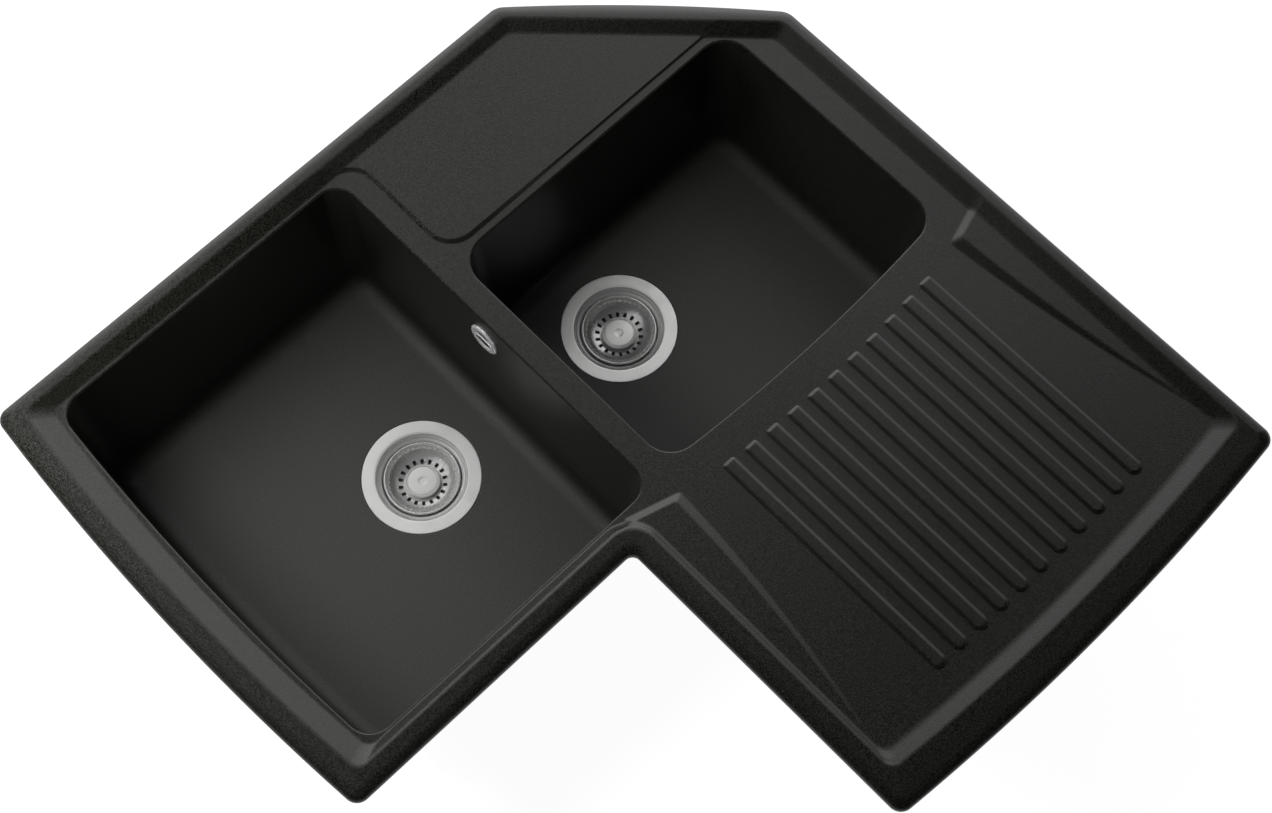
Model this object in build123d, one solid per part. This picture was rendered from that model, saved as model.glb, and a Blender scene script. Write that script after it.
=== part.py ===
"""Corner kitchen sink in granite composite, with two bowls, a ribbed drainer, basket strainers,
an overflow and the clips that hold its rim down on a worktop.

Plan places are first given from the wall corner, the point where the two back edges would meet.
The right arm runs along +X, the left arm along -Y, and z = 0 is the worktop's top face, on which the
rim sits. The finished pieces are then moved so that the origin lies on the rim's seat, in the middle
of the cut-off back corner.
"""

from math import sqrt
import os

from build123d import *

# ---- sink body: driving dimensions, in mm ----
ARM_LENGTH = 800.0        # wall corner to the middle of an arm's bowed end
END_BOW = 11.5            # the middle of an arm's end stands out this far from its corners
ARM_DEPTH = 475.0         # front to back of each arm
CORNER_CUT = 194.0        # leg of the triangle taken off the back corner
CUT_BOW = 5.0
SEAT_INSET = 100.0        # the origin, along both walls from the wall corner

RIM_TOP = 9.0             # above the worktop
LEDGE = 0.5               # the sunk ledge inside the rim
DECK_TOP = 3.1            # the raised tap deck
TRAY_BOTTOM = -8.0        # underside of the slab
LAND = 12.0               # width of the seat under the rim
FLOOR = -172.0            # bowl floors
WALL = 7.0
FLOOR_THICK = 9.0

RIM_EDGE_ROUND = 7.0
RIM_INNER_ROUND = 6.0
FOOT_ROUND = 4.0
# Plan radii at the arms' tips, at the corner cut and at the inside corner.
EDGE_ROUNDS = (12.5, 19.0, 8.0)
TRAY_ROUNDS = (6.0, 13.0, 20.0)
FLAT_ROUNDS = (12.0, 16.0, 24.0)
FOOT_ROUNDS = (10.0, 14.0, 26.0)
OVERLAP = 1.0             # pieces that are fused reach this far into each other

# How far each side of the rim's flat top, and the foot of the slope inside it, lies from the edge.
# Order: back, right end, right arm front, left arm front, left end, left back, corner cut.
RIM_FLAT = (13.5, 30.5, 22.0, 22.5, 20.5, 15.5, 14.0)
SLOPE_FOOT = (27.0, 45.5, 29.5, 29.0, 40.5, 28.0, 27.0)

BOWL_BOW = 8.5
MAIN_CORNER = 22.0
SECOND_CORNER = 28.0
BOWL_LIP_ROUND = 2.0
BOWL_FLOOR_ROUND = 20.0
# Bowl edges at the ledge and at the floor: left, right, back, front.
MAIN_OPENING = (32.0, 441.0, -420.0, -744.5)
MAIN_FLOOR = (44.0, 428.0, -425.5, -735.0)
SECOND_OPENING = (166.5, 436.0, -55.0, -394.5)
SECOND_FLOOR = (176.0, 426.0, -62.0, -389.0)

# The tap deck: its right side, its front side and the curve down to the rim.
DECK_RIGHT = 157.0
DECK_FRONT = -396.5
DECK_CORNER = 27.0
DECK_SWEEP = 26.0
DECK_SWEEP_END = -416.5
DECK_EDGE_ROUND = 1.2
DECK_UNDER = 14.0         # the deck runs in under the rim's slopes to here
KNOCKOUT_R = 17.5
KNOCKOUT_LEFT = 3.0       # thickness left above a tap knock-out
KNOCKOUTS = ((88.0, -250.0), (88.0, -335.0))

# The drainer rises towards its end and carries round-ended ribs.
DRAINER_START = 450.0
DRAINER_END = 760.0
DRAINER_RISE = 4.5
RIB_COUNT = 11
RIB_WIDTH = 13.4
RIB_PITCH = 24.8
RIB_FIRST_Y = -109.5
RIB_HEIGHT = 1.7
RIB_SPAN = (478.0, 730.0)
RIB_BOW = 6.0
RIB_START_ROUND = 2.5
RIB_EDGE_ROUND = 0.9

# The level pads beside the drainer, which rises to meet their tips. Each has the plan corners of its
# top and of its foot, clockwise from above, and the bow of the side that faces the ribs.
PAD_TOP = 4.6
PAD_FOOT = 0.1
PAD_CORNER = 6.0
BACK_PAD_TOP = ((454.0, -12.0), (727.0, -12.0), (727.0, -25.6), (467.0, -55.5))
BACK_PAD_FOOT = ((448.0, -12.0), (740.0, -12.0), (740.0, -35.0), (460.0, -66.5))
BACK_PAD_BOWS = (0, 0, 4.5, 0)
FRONT_PAD_TOP = ((467.0, -415.5), (705.0, -441.0), (705.0, -458.0), (454.5, -458.0))
FRONT_PAD_FOOT = ((458.0, -406.0), (715.0, -431.5), (715.0, -458.0), (448.0, -458.0))
FRONT_PAD_BOWS = (5.0, 0, 0, 0)

# ---- wastes: places of their axes, then radii and heights above each bowl's floor ----
WASTES = {"main": (242.0, -526.5), "second": (261.5, -286.0)}
RECESS_R = 58.5
RECESS_DEPTH = 2.4
DRAIN_R = 45.0
DRAIN_BOSS_R = 61.0
DRAIN_BOSS_LOW = -13.0
FLANGE_R = 57.0
FLANGE_SEAL_THICK = 1.6
SHEET = 1.2
FLANGE_TOP = FLANGE_SEAL_THICK + SHEET - RECESS_DEPTH
DISH_MOUTH_R = 44.4
DISH_R = 38.4
DISH_MOUTH_LOW = -6.8
DISH_FLOOR = -25.0
DISH_FLOOR_ROUND = 2.7
DISH_HOLES = 6
DISH_HOLE_R = 5.2
DISH_HOLE_RING_R = 15.5
BASKET_R = 36.6
BASKET_RIM = -3.0
BASKET_LOW = -17.5
BASKET_SHEET = 0.8
BASKET_FLAT_R = 17.0      # of the flat middle of its floor
BASKET_SHOULDER_R = 24.0  # where its floor, sloping up past the slots, turns into the wall
BASKET_SHOULDER_RISE = 1.9
BASKET_BELLY = (31.4, -11.2)    # a point half way up the wall, from outside
BASKET_BEAD = 2.2         # width of the rolled rim
SLOT_COUNT = 18
SLOT_RING_R = 21.2
SLOT_WIDTH = 3.2
SLOT_LENGTH = 4.4
CAP_R = 16.8
CAP_TOP = -11.0
CAP_LOW = -13.6
CAP_DIMPLE_R = 4.5
CAP_DIMPLE = 0.6
CAP_CROWN_R = 12.0        # of the cap's nearly flat top
CAP_HUB_R = 5.0
STEM_R = 2.7
STEM_LOW = -38.0
STEM_TOP = -12.5
PLUG_R = 27.0             # lip of the rubber plug seal on the dish floor
PLUG_LOW = -20.0          # underside of the plug seal's middle
PLUG_LIP = 3.7            # how far in the lip starts
NUT_HEIGHT = 2.3
NUT_FLATS = 9.0
SCREW_HEAD_R = 7.0
SCREW_HEAD = 2.0
SCREW_R = 5.0
SCREW_BORE_R = 3.2
SCREW_LOW = -50.0
SCREW_BORE_LOW = -40.0
SCREW_SLOT = (1.6, 2.0)   # width and depth
GASKET_THICK = 2.5
BODY_RIM_R = 52.0
BODY_RIM_THICK = 3.0
BODY_CUP_R = 45.0
BODY_WALL = 3.2
BODY_CUP_LOW = -56.0
BODY_NECK_TOP = -70.0
BODY_BOSS_R = 8.0
BODY_BOSS_LOW = -48.0
BODY_RIB_TOP = -34.0
BODY_RIB_THICK = 3.0
BODY_RIBS = 3
BODY_RIB_FIRST = 30.0     # angle of the first rib from +X
OUTLET_R = 23.9           # G 1 1/2 male thread over its crests
OUTLET_BORE_R = 19.5
OUTLET_END = -104.0

# ---- overflow: lengths along and square to the divider wall it is screwed to ----
OVERFLOW_X = 228.0
OVERFLOW_Z = -36.0
OVERFLOW_HOLE_R = 12.6
ROSETTE_R = 17.0
ROSETTE_OPENING_R = 10.5
ROSETTE_HEIGHT = 2.4
ROSETTE_BAR = (3.6, 2.2)  # width and depth
ROSETTE_GAP = 0.15        # sealant between the ring and the wall
SLEEVE_R = 12.0
SLEEVE_LENGTH = 13.0
OVERFLOW_SEAL_THICK = 1.5
DUCT_WIDTH = 34.0
DUCT_THICK = 10.0
DUCT_WALL = 1.5
DUCT_TOP = 19.0           # above the rosette's axis
DUCT_LENGTH = 146.0       # below the rosette's axis
BOOT_LENGTH = 8.0
BOOT_THICK = 24.0
SPIGOT_R = 8.0
SPIGOT_BORE_R = 6.5
SPIGOT_LENGTH = 8.0
PIPE_R = 10.0
PIPE_BORE_R = 8.2
PIPE_Z = FLOOR - 44.0
PIPE_BEND = 15.0
PIPE_INSERT = 9.0         # how far the pipe reaches into the stub
STUB_R = 12.5
STUB_BORE_R = 10.2
STUB_REACH = 62.0         # from the main waste's axis to the stub's open end
PIPE_SEAL_THICK = 2.5
UNION_LENGTH = 14.0
UNION_FLATS = 31.0
UNION_LIP = 2.0

# ---- rim clips ----
CLIP_INSET = 19.0         # clip screw to the rim's outer edge
CLIPS_BACK_X = (330.0, 640.0)
CLIPS_END = (120.0, 355.0)      # along each arm's end, from its back edge
CLIP_RIGHT_FRONT_X = 640.0
CLIP_LEFT_FRONT_Y = -620.0
CLIPS_LEFT_Y = (-620.0, -300.0)
CLIP_BOSS_R = 6.5
CLIP_BOSS_LOW = -22.0
INSERT_R = 3.5
INSERT_TOP = -11.0
CLIP_SCREW_R = 2.5
CLIP_HOLE_R = 2.9
CLIP_HEAD_R = 4.75
CLIP_HEAD = 4.0
CLIP_SOCKET = (4.0, 2.5)  # flats and depth
CLIP_LOW = -52.0
CLIP_WIDTH = 13.0
CLIP_REACH = 30.0
CLIP_TAIL = 6.5
CLIP_SHEET = 2.0
CLIP_TOE = 10.0


def bow_at(along, chord, bow):
    """How far an arc of this chord and bow stands out at a distance along its chord."""
    radius = (chord * chord / 4 + bow * bow) / (2 * bow)
    return sqrt(radius * radius - (along - chord / 2) ** 2) - radius + bow


def closed_face(corners, bows, rounds, z):
    """A face through the corners, clockwise from above, whose sides bow out and corners are round."""
    edges = []
    for i, (x0, y0) in enumerate(corners):
        x1, y1 = corners[(i + 1) % len(corners)]
        if bows[i]:
            length = sqrt((x1 - x0) ** 2 + (y1 - y0) ** 2)
            out_x = -(y1 - y0) / length
            out_y = (x1 - x0) / length
            middle = ((x0 + x1) / 2 + out_x * bows[i], (y0 + y1) / 2 + out_y * bows[i])
            edges.append(ThreePointArc((x0, y0), middle, (x1, y1)))
        else:
            edges.append(Line((x0, y0), (x1, y1)))
    face = make_face(edges).face()
    for (x, y), radius in zip(corners, rounds):
        if radius:
            face = face.fillet_2d(radius, [face.vertices().sort_by_distance((x, y, 0))[0]])
    return Pos(0, 0, z) * face


def arm_face(insets, cut_bow, plan_rounds, z):
    """The sink's L-shaped outline with each side moved in by its own inset."""
    tip, cut_round, inside = plan_rounds
    back, right, front_r, front_l, end, left, cut = insets
    tip_x = ARM_LENGTH - END_BOW
    reach = CORNER_CUT + cut * sqrt(2)
    corners = [
        (reach - back, -back),
        (tip_x - right, -back),
        (tip_x - right, front_r - ARM_DEPTH),
        (ARM_DEPTH - front_l, front_r - ARM_DEPTH),
        (ARM_DEPTH - front_l, end - tip_x),
        (left, end - tip_x),
        (left, left - reach),
    ]
    bows = (0, END_BOW, 0, 0, END_BOW, 0, cut_bow)
    rounds = (cut_round, tip, tip, inside, tip, tip, cut_round)
    return closed_face(corners, bows, rounds, z)


def bowl_face(edges, bows, corner, grow, z):
    """A bowl's four-sided plan, grown outwards by a wall's thickness."""
    left, right, back, front = edges
    corners = [
        (left - grow, back + grow),
        (right + grow, back + grow),
        (right + grow, front - grow),
        (left - grow, front - grow),
    ]
    return closed_face(corners, bows, [corner + grow] * 4, z)


def bowl_tool(opening, floor, bows, corner, grow, top, low, floor_round):
    """A tapered block with a rounded foot: a bowl's hollow, or with grow its outer shape."""
    upper = bowl_face(opening, bows, corner, grow, top)
    lower = bowl_face(floor, bows, corner, grow, low)
    block = loft([upper, lower], ruled=True)
    return fillet(block.edges().group_by(Axis.Z)[0], floor_round)


def disc(radius, low, high):
    """A plain round disc about the Z axis."""
    return Pos(0, 0, low) * Cylinder(radius, high - low, align=(Align.CENTER, Align.CENTER, Align.MIN))


def ring(outer, inner, low, high):
    """A plain ring about the Z axis."""
    return disc(outer, low, high) - disc(inner, low, high)


def hexagon(flats, low, high):
    """A six-sided block about the Z axis."""
    plan = RegularPolygon(flats / 2, 6, major_radius=False)
    return extrude(Pos(0, 0, low) * plan, high - low)


def turned(points):
    """A solid turned about the Z axis from a closed outline of (radius, height) points."""
    outline = [(r, 0, z) for r, z in points]
    return revolve(make_face(Polyline(*outline, close=True)), Axis.Z)


# ---- where the clips sit: screw place and the direction that points out over the rim ----
def clip_places():
    """Ten places round the rim, each as x, y and the angle of the outward direction."""
    tip_x = ARM_LENGTH - END_BOW
    front = ARM_DEPTH - CLIP_INSET
    places = [(x, -CLIP_INSET, 90.0) for x in CLIPS_BACK_X]
    for along in CLIPS_END:
        places.append((tip_x + bow_at(along, ARM_DEPTH, END_BOW) - CLIP_INSET, -along, 0.0))
    places.append((CLIP_RIGHT_FRONT_X, -front, -90.0))
    places.append((front, CLIP_LEFT_FRONT_Y, 0.0))
    for along in reversed(CLIPS_END):
        places.append((along, CLIP_INSET - tip_x - bow_at(along, ARM_DEPTH, END_BOW), -90.0))
    places += [(CLIP_INSET, y, 180.0) for y in CLIPS_LEFT_Y]
    return places


# ---- sink body ----
def rim_and_tray():
    """The rim, its seat, and the slab under it, with the sunk ledge still missing."""
    edge = arm_face((0,) * 7, CUT_BOW, EDGE_ROUNDS, 0)
    rim = extrude(edge, RIM_TOP)
    rim = fillet(rim.edges().group_by(Axis.Z)[-1], RIM_EDGE_ROUND)
    tray_edge = arm_face((LAND,) * 7, CUT_BOW, TRAY_ROUNDS, TRAY_BOTTOM)
    return rim + extrude(tray_edge, OVERLAP - TRAY_BOTTOM)


def ledge_recess():
    """The hollow inside the rim, down to the ledge, with its sloping sides."""
    flat = arm_face(RIM_FLAT, 0, FLAT_ROUNDS, RIM_TOP)
    foot = arm_face(SLOPE_FOOT, 0, FOOT_ROUNDS, LEDGE)
    return loft([flat, foot], ruled=True) + extrude(flat, OVERLAP)


def drainer_plane():
    """A plane on the drainer that starts at the ledge and rises towards the arm's end."""
    tilt = Plane(
        origin=(DRAINER_START, 0, LEDGE),
        x_dir=(DRAINER_END - DRAINER_START, 0, DRAINER_RISE),
        z_dir=(-DRAINER_RISE, 0, DRAINER_END - DRAINER_START),
    )
    return tilt


def drainer_fall():
    """The thin wedge under the drainer that makes it rise."""
    side = Polyline(
        (DRAINER_START, 0, LEDGE - OVERLAP),
        (DRAINER_END, 0, LEDGE - OVERLAP),
        (DRAINER_END, 0, LEDGE + DRAINER_RISE),
        (DRAINER_START, 0, LEDGE),
        close=True,
    )
    return extrude(make_face(side), ARM_DEPTH, dir=(0, -1, 0))


def drainer_ribs():
    """Flat-topped ribs, square with small corners at the bowl end and round at the far end."""
    ribs = []
    plane = drainer_plane()
    half = RIB_WIDTH / 2
    middle = (RIB_COUNT - 1) / 2
    for i in range(RIB_COUNT):
        out = 1 - ((i - middle) / middle) ** 2
        start = RIB_SPAN[0] - RIB_BOW + RIB_BOW * out - DRAINER_START
        end = RIB_SPAN[1] - RIB_BOW / 2 + RIB_BOW / 2 * out - DRAINER_START
        y = RIB_FIRST_Y - i * RIB_PITCH
        face = closed_face(
            [(start, y + half), (end, y + half), (end, y - half), (start, y - half)],
            (0, 0, 0, 0),
            (RIB_START_ROUND, half - 0.1, half - 0.1, RIB_START_ROUND),
            -OVERLAP,
        )
        rib = extrude(face, OVERLAP + RIB_HEIGHT)
        rib = fillet(rib.edges().group_by(Axis.Z)[-1], RIB_EDGE_ROUND)
        ribs.append(plane * rib)
    return ribs


def level_pad(top, foot, bows, corner):
    """A level pad with sloping sides, one of its corners round."""
    rounds = [PAD_CORNER if i == corner else 0 for i in range(4)]
    upper = closed_face(top, bows, rounds, PAD_TOP)
    lower = closed_face(foot, bows, rounds, PAD_FOOT)
    return loft([upper, lower], ruled=True)


def tap_deck():
    """The raised flat deck in the corner, whose front side sweeps down to the rim."""
    left = DECK_UNDER
    beyond_cut = CORNER_CUT + 2 * DECK_UNDER
    sweep_x = SLOPE_FOOT[5] - 2
    sweep_foot = (sweep_x + OVERLAP, DECK_SWEEP_END)
    edges = [
        Line((left, DECK_SWEEP_END), (left, left - beyond_cut)),
        Line((left, left - beyond_cut), (DECK_RIGHT, DECK_RIGHT - beyond_cut)),
        Line((DECK_RIGHT, DECK_RIGHT - beyond_cut), (DECK_RIGHT, DECK_FRONT + DECK_CORNER)),
        RadiusArc(
            (DECK_RIGHT, DECK_FRONT + DECK_CORNER), (DECK_RIGHT - DECK_CORNER, DECK_FRONT), DECK_CORNER
        ),
        Line((DECK_RIGHT - DECK_CORNER, DECK_FRONT), (sweep_x + DECK_SWEEP, DECK_FRONT)),
        RadiusArc((sweep_x + DECK_SWEEP, DECK_FRONT), sweep_foot, -DECK_SWEEP),
        Line(sweep_foot, (left, DECK_SWEEP_END)),
    ]
    root = LEDGE - OVERLAP
    deck = extrude(Pos(0, 0, root) * make_face(edges), DECK_TOP - root)
    return fillet(deck.edges().group_by(Axis.Z)[-1], DECK_EDGE_ROUND)


def edges_at(body, z, inside):
    """The body's edges that lie level at height z and whose middles pass a test."""
    level = []
    for edge in body.edges():
        off = [abs(v.Z - z) for v in edge.vertices()]
        middle = edge.position_at(0.5)
        off.append(abs(middle.Z - z))
        if max(off) < 1e-3 and inside(middle):
            level.append(edge)
    return level


def bowl_hollow(opening, floor, bows, corner):
    """A bowl's hollow with a small plate over its mouth, so that cutting it leaves a round lip."""
    hollow = bowl_tool(opening, floor, bows, corner, 0, LEDGE, FLOOR, BOWL_FLOOR_ROUND)
    beyond_lip = BOWL_LIP_ROUND + 0.2
    hollow += extrude(bowl_face(opening, bows, corner, beyond_lip, LEDGE), RIM_TOP / 3)
    mouth = bowl_face(opening, bows, corner, BOWL_LIP_ROUND / 2, LEDGE)
    return fillet(edges_at(hollow, LEDGE, lambda point: mouth.is_inside(point)), BOWL_LIP_ROUND)


def bowl_specs():
    """Each bowl's opening, floor, bowed sides and corner radius, and its waste's place."""
    return (
        ((MAIN_OPENING, MAIN_FLOOR, (0, 0, BOWL_BOW, 0), MAIN_CORNER), WASTES["main"]),
        ((SECOND_OPENING, SECOND_FLOOR, (0, BOWL_BOW, 0, 0), SECOND_CORNER), WASTES["second"]),
    )


def sink_body():
    """The whole casting, with its drain holes, overflow hole, knock-outs and clip bosses."""
    body = rim_and_tray()
    for bowl, (x, y) in bowl_specs():
        low = FLOOR - FLOOR_THICK
        body += bowl_tool(*bowl, WALL, -OVERLAP, low, BOWL_FLOOR_ROUND + WALL - OVERLAP)
        body += Pos(x, y, FLOOR) * disc(DRAIN_BOSS_R, DRAIN_BOSS_LOW, -FLOOR_THICK / 2)
    for x, y, _ in clip_places():
        body += Pos(x, y, 0) * disc(CLIP_BOSS_R, CLIP_BOSS_LOW, -OVERLAP)

    recess = ledge_recess()
    recess = fillet(recess.edges().group_by(Axis.Z)[0], FOOT_ROUND)
    body -= recess - drainer_fall()
    within = arm_face((LAND,) * 7, CUT_BOW, TRAY_ROUNDS, RIM_TOP)
    rim_line = edges_at(body, RIM_TOP, lambda point: within.is_inside(point))
    body = fillet(rim_line, RIM_INNER_ROUND)

    body += tap_deck()
    body += level_pad(BACK_PAD_TOP, BACK_PAD_FOOT, BACK_PAD_BOWS, 3)
    body += level_pad(FRONT_PAD_TOP, FRONT_PAD_FOOT, FRONT_PAD_BOWS, 0)
    for rib in drainer_ribs():
        body += rib

    for bowl, (x, y) in bowl_specs():
        body -= bowl_hollow(*bowl)
        body -= Pos(x, y, FLOOR) * disc(RECESS_R, -RECESS_DEPTH, OVERLAP)
        body -= Pos(x, y, FLOOR) * disc(DRAIN_R, DRAIN_BOSS_LOW - OVERLAP, 0)

    for x, y in KNOCKOUTS:
        body -= Pos(x, y, 0) * disc(KNOCKOUT_R, TRAY_BOTTOM - OVERLAP, DECK_TOP - KNOCKOUT_LEFT)
    for x, y, _ in clip_places():
        body -= Pos(x, y, 0) * disc(INSERT_R, CLIP_BOSS_LOW - OVERLAP, INSERT_TOP)
    body -= overflow_plane() * disc(OVERFLOW_HOLE_R, -2 * WALL, WALL / 2)
    return body


# ---- overflow ----
def overflow_plane():
    """A plane on the outer face of the main bowl's divider wall, at the rosette's axis, facing the
    gap between the bowls. Its y direction runs down the wall."""
    top_y = MAIN_OPENING[2] + WALL
    low_y = MAIN_FLOOR[2] + WALL
    top_z = -OVERLAP
    low_z = FLOOR - FLOOR_THICK
    slope = (top_y - low_y) / (top_z - low_z)
    y = top_y + slope * (OVERFLOW_Z - top_z)
    return Plane(origin=(OVERFLOW_X, y, OVERFLOW_Z), x_dir=(1, 0, 0), z_dir=(0, 1, -slope))


def overflow_rosette():
    """A domed ring with a bar across its opening and a sleeve that screws into the housing."""
    dome = turned([
        (ROSETTE_OPENING_R, -ROSETTE_HEIGHT * 0.4),
        (ROSETTE_OPENING_R + 0.8, -ROSETTE_HEIGHT * 0.8),
        (ROSETTE_OPENING_R + 2.8, -ROSETTE_HEIGHT),
        (ROSETTE_R - 1.4, -ROSETTE_HEIGHT * 0.75),
        (ROSETTE_R, -ROSETTE_HEIGHT * 0.2),
        (ROSETTE_R, 0),
        (ROSETTE_OPENING_R, 0),
    ])
    sleeve = ring(SLEEVE_R, ROSETTE_OPENING_R, 0, SLEEVE_LENGTH)
    bar_width, bar_depth = ROSETTE_BAR
    bar = Box(2 * ROSETTE_OPENING_R + OVERLAP, bar_width, bar_depth)
    face = overflow_plane() * Pos(0, 0, -WALL - ROSETTE_GAP)
    return face * (dome + sleeve + bar)


def overflow_housing():
    """The flat duct behind the divider wall, from the rosette's sleeve down to a round spigot."""
    near = OVERFLOW_SEAL_THICK
    middle = near + DUCT_THICK / 2

    def block(shrink, low_end):
        """The duct's plan, with its top corners round, as thick as the duct less shrink."""
        half = DUCT_WIDTH / 2 - shrink
        top = shrink - DUCT_TOP
        face = closed_face(
            [(-half, low_end), (half, low_end), (half, top), (-half, top)],
            (0, 0, 0, 0),
            (0, 0, half - 2, half - 2),
            near + shrink,
        )
        return extrude(face, DUCT_THICK - 2 * shrink)

    boot_y = DUCT_LENGTH + BOOT_LENGTH / 2
    housing = block(0, DUCT_LENGTH)
    housing += Pos(0, boot_y, middle) * Box(DUCT_WIDTH, BOOT_LENGTH, BOOT_THICK)
    down = Pos(0, DUCT_LENGTH + BOOT_LENGTH, middle) * Rot(-90, 0, 0)
    housing += down * disc(SPIGOT_R, -DUCT_WALL, SPIGOT_LENGTH)
    hollow = block(DUCT_WALL, DUCT_LENGTH + DUCT_WALL)
    shell = 2 * DUCT_WALL
    hollow += Pos(0, boot_y, middle) * Box(DUCT_WIDTH - shell, BOOT_LENGTH - shell, BOOT_THICK - shell)
    hollow += down * disc(SPIGOT_BORE_R, -shell, SPIGOT_LENGTH)
    housing -= hollow
    housing += ring(SLEEVE_R + 2, SLEEVE_R, near, near + 4)
    housing -= disc(SLEEVE_R, near, near + 4)
    return overflow_plane() * housing


def overflow_seal():
    """The flat ring that the housing squeezes against the wall."""
    return overflow_plane() * ring(DUCT_WIDTH / 2, OVERFLOW_HOLE_R, 0, OVERFLOW_SEAL_THICK)


def union_end_y():
    """Where the stub of the main waste body ends, facing the overflow."""
    return WASTES["main"][1] + STUB_REACH


def overflow_pipe():
    """A bent rigid pipe from the housing's spigot to the stub of the main waste body."""
    plane = overflow_plane()
    middle = OVERFLOW_SEAL_THICK + DUCT_THICK / 2
    start = plane.from_local_coords(Vector(0, DUCT_LENGTH + BOOT_LENGTH, middle))
    down = plane.y_dir
    corner = start + down * ((PIPE_Z - start.Z) / down.Z)
    end = Vector(OVERFLOW_X, union_end_y() - PIPE_INSERT, PIPE_Z)
    route = FilletPolyline(start, corner, end, radius=PIPE_BEND)
    section = Plane(origin=start, x_dir=(1, 0, 0), z_dir=down)
    outer = sweep(section * Circle(PIPE_R), path=route)
    bore = sweep(section * Circle(PIPE_BORE_R), path=route)
    return outer - bore


def along_y(x, y, z):
    """A frame whose +Z runs along the sink's +Y."""
    return Pos(x, y, z) * Rot(-90, 0, 0)


def pipe_seal():
    """The rubber ring between the pipe and the stub's end."""
    return along_y(OVERFLOW_X, union_end_y(), PIPE_Z) * ring(STUB_R, PIPE_R, 0, PIPE_SEAL_THICK)


def pipe_nut():
    """The union nut that presses the pipe seal onto the stub."""
    top = PIPE_SEAL_THICK + UNION_LIP
    nut = hexagon(UNION_FLATS, top - UNION_LENGTH, top)
    nut -= disc(STUB_R, top - UNION_LENGTH, PIPE_SEAL_THICK)
    nut -= disc(PIPE_R + 0.2, 0, top)
    return along_y(OVERFLOW_X, union_end_y(), PIPE_Z) * nut


# ---- wastes, each about its own axis with z = 0 at the bowl's floor ----
def strainer_flange():
    """A pressed stainless dish: flat ring, short cone, throat and a floor with drain holes."""
    under = FLANGE_TOP - SHEET
    dish = turned([
        (FLANGE_R - 0.4, FLANGE_TOP),
        (FLANGE_R, FLANGE_TOP - 0.4),
        (FLANGE_R, under),
        (DISH_MOUTH_R + 0.8, under),
        (DISH_R + SHEET, DISH_MOUTH_LOW - 0.4),
        (DISH_R + SHEET, DISH_FLOOR + DISH_FLOOR_ROUND - 0.5),
        (DISH_R - DISH_FLOOR_ROUND + 0.5, DISH_FLOOR - SHEET),
        (SCREW_R, DISH_FLOOR - SHEET),
        (SCREW_R, DISH_FLOOR),
        (DISH_R - DISH_FLOOR_ROUND, DISH_FLOOR),
        (DISH_R, DISH_FLOOR + DISH_FLOOR_ROUND),
        (DISH_R, DISH_MOUTH_LOW),
        (DISH_MOUTH_R, FLANGE_TOP),
    ])
    holes = PolarLocations(DISH_HOLE_RING_R, DISH_HOLES)
    return dish - [place * disc(DISH_HOLE_R, DISH_FLOOR - 2 * SHEET, DISH_FLOOR + 1) for place in holes]


def flange_seal():
    """The rubber ring under the flat ring of the strainer flange."""
    return ring(FLANGE_R, DRAIN_R + 1, -RECESS_DEPTH, FLANGE_SEAL_THICK - RECESS_DEPTH)


def basket():
    """A slotted stainless cup with a rolled rim."""
    wall = BASKET_SHEET
    flat = (BASKET_FLAT_R, BASKET_LOW)
    flat_in = (BASKET_FLAT_R, BASKET_LOW + wall)
    shoulder = (BASKET_SHOULDER_R, BASKET_LOW + BASKET_SHOULDER_RISE)
    shoulder_in = (shoulder[0] - wall / 2, shoulder[1] + wall)
    belly_in = (BASKET_BELLY[0] - 0.75 * wall, BASKET_BELLY[1] + 0.75 * wall)
    bead_low = BASKET_RIM - wall
    wall_top = (BASKET_R - BASKET_BEAD + wall, bead_low)
    wall_top_in = (BASKET_R - BASKET_BEAD, bead_low)
    outline = [
        Line((STEM_R, BASKET_LOW), flat),
        Line(flat, shoulder),
        ThreePointArc(shoulder, BASKET_BELLY, wall_top),
        Line(wall_top, (BASKET_R, bead_low)),
        Line((BASKET_R, bead_low), (BASKET_R, BASKET_RIM)),
        Line((BASKET_R, BASKET_RIM), (BASKET_R - BASKET_BEAD, BASKET_RIM)),
        Line((BASKET_R - BASKET_BEAD, BASKET_RIM), wall_top_in),
        ThreePointArc(wall_top_in, belly_in, shoulder_in),
        Line(shoulder_in, flat_in),
        Line(flat_in, (STEM_R, BASKET_LOW + wall)),
        Line((STEM_R, BASKET_LOW + wall), (STEM_R, BASKET_LOW)),
    ]
    cup = revolve(Plane.XZ * make_face(outline), Axis.Z)
    slot = extrude(Pos(0, 0, BASKET_LOW - OVERLAP) * SlotOverall(SLOT_LENGTH, SLOT_WIDTH), SLOT_LENGTH)
    return cup - [place * slot for place in PolarLocations(SLOT_RING_R, SLOT_COUNT)]


def basket_cap():
    """The domed button in the middle of the basket, with a dimple in its top."""
    return turned([
        (0, CAP_TOP - CAP_DIMPLE),
        (CAP_DIMPLE_R - CAP_DIMPLE, CAP_TOP - CAP_DIMPLE),
        (CAP_DIMPLE_R, CAP_TOP),
        (CAP_CROWN_R, CAP_TOP - 0.2),
        (CAP_R - 0.8, CAP_TOP - 1.0),
        (CAP_R, CAP_TOP - 1.8),
        (CAP_R, CAP_LOW + 0.2),
        (CAP_R - 0.6, CAP_LOW),
        (CAP_HUB_R, CAP_LOW),
        (CAP_HUB_R, BASKET_LOW + BASKET_SHEET),
        (STEM_R, BASKET_LOW + BASKET_SHEET),
        (STEM_R, STEM_TOP),
        (0, STEM_TOP),
    ])


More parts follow.
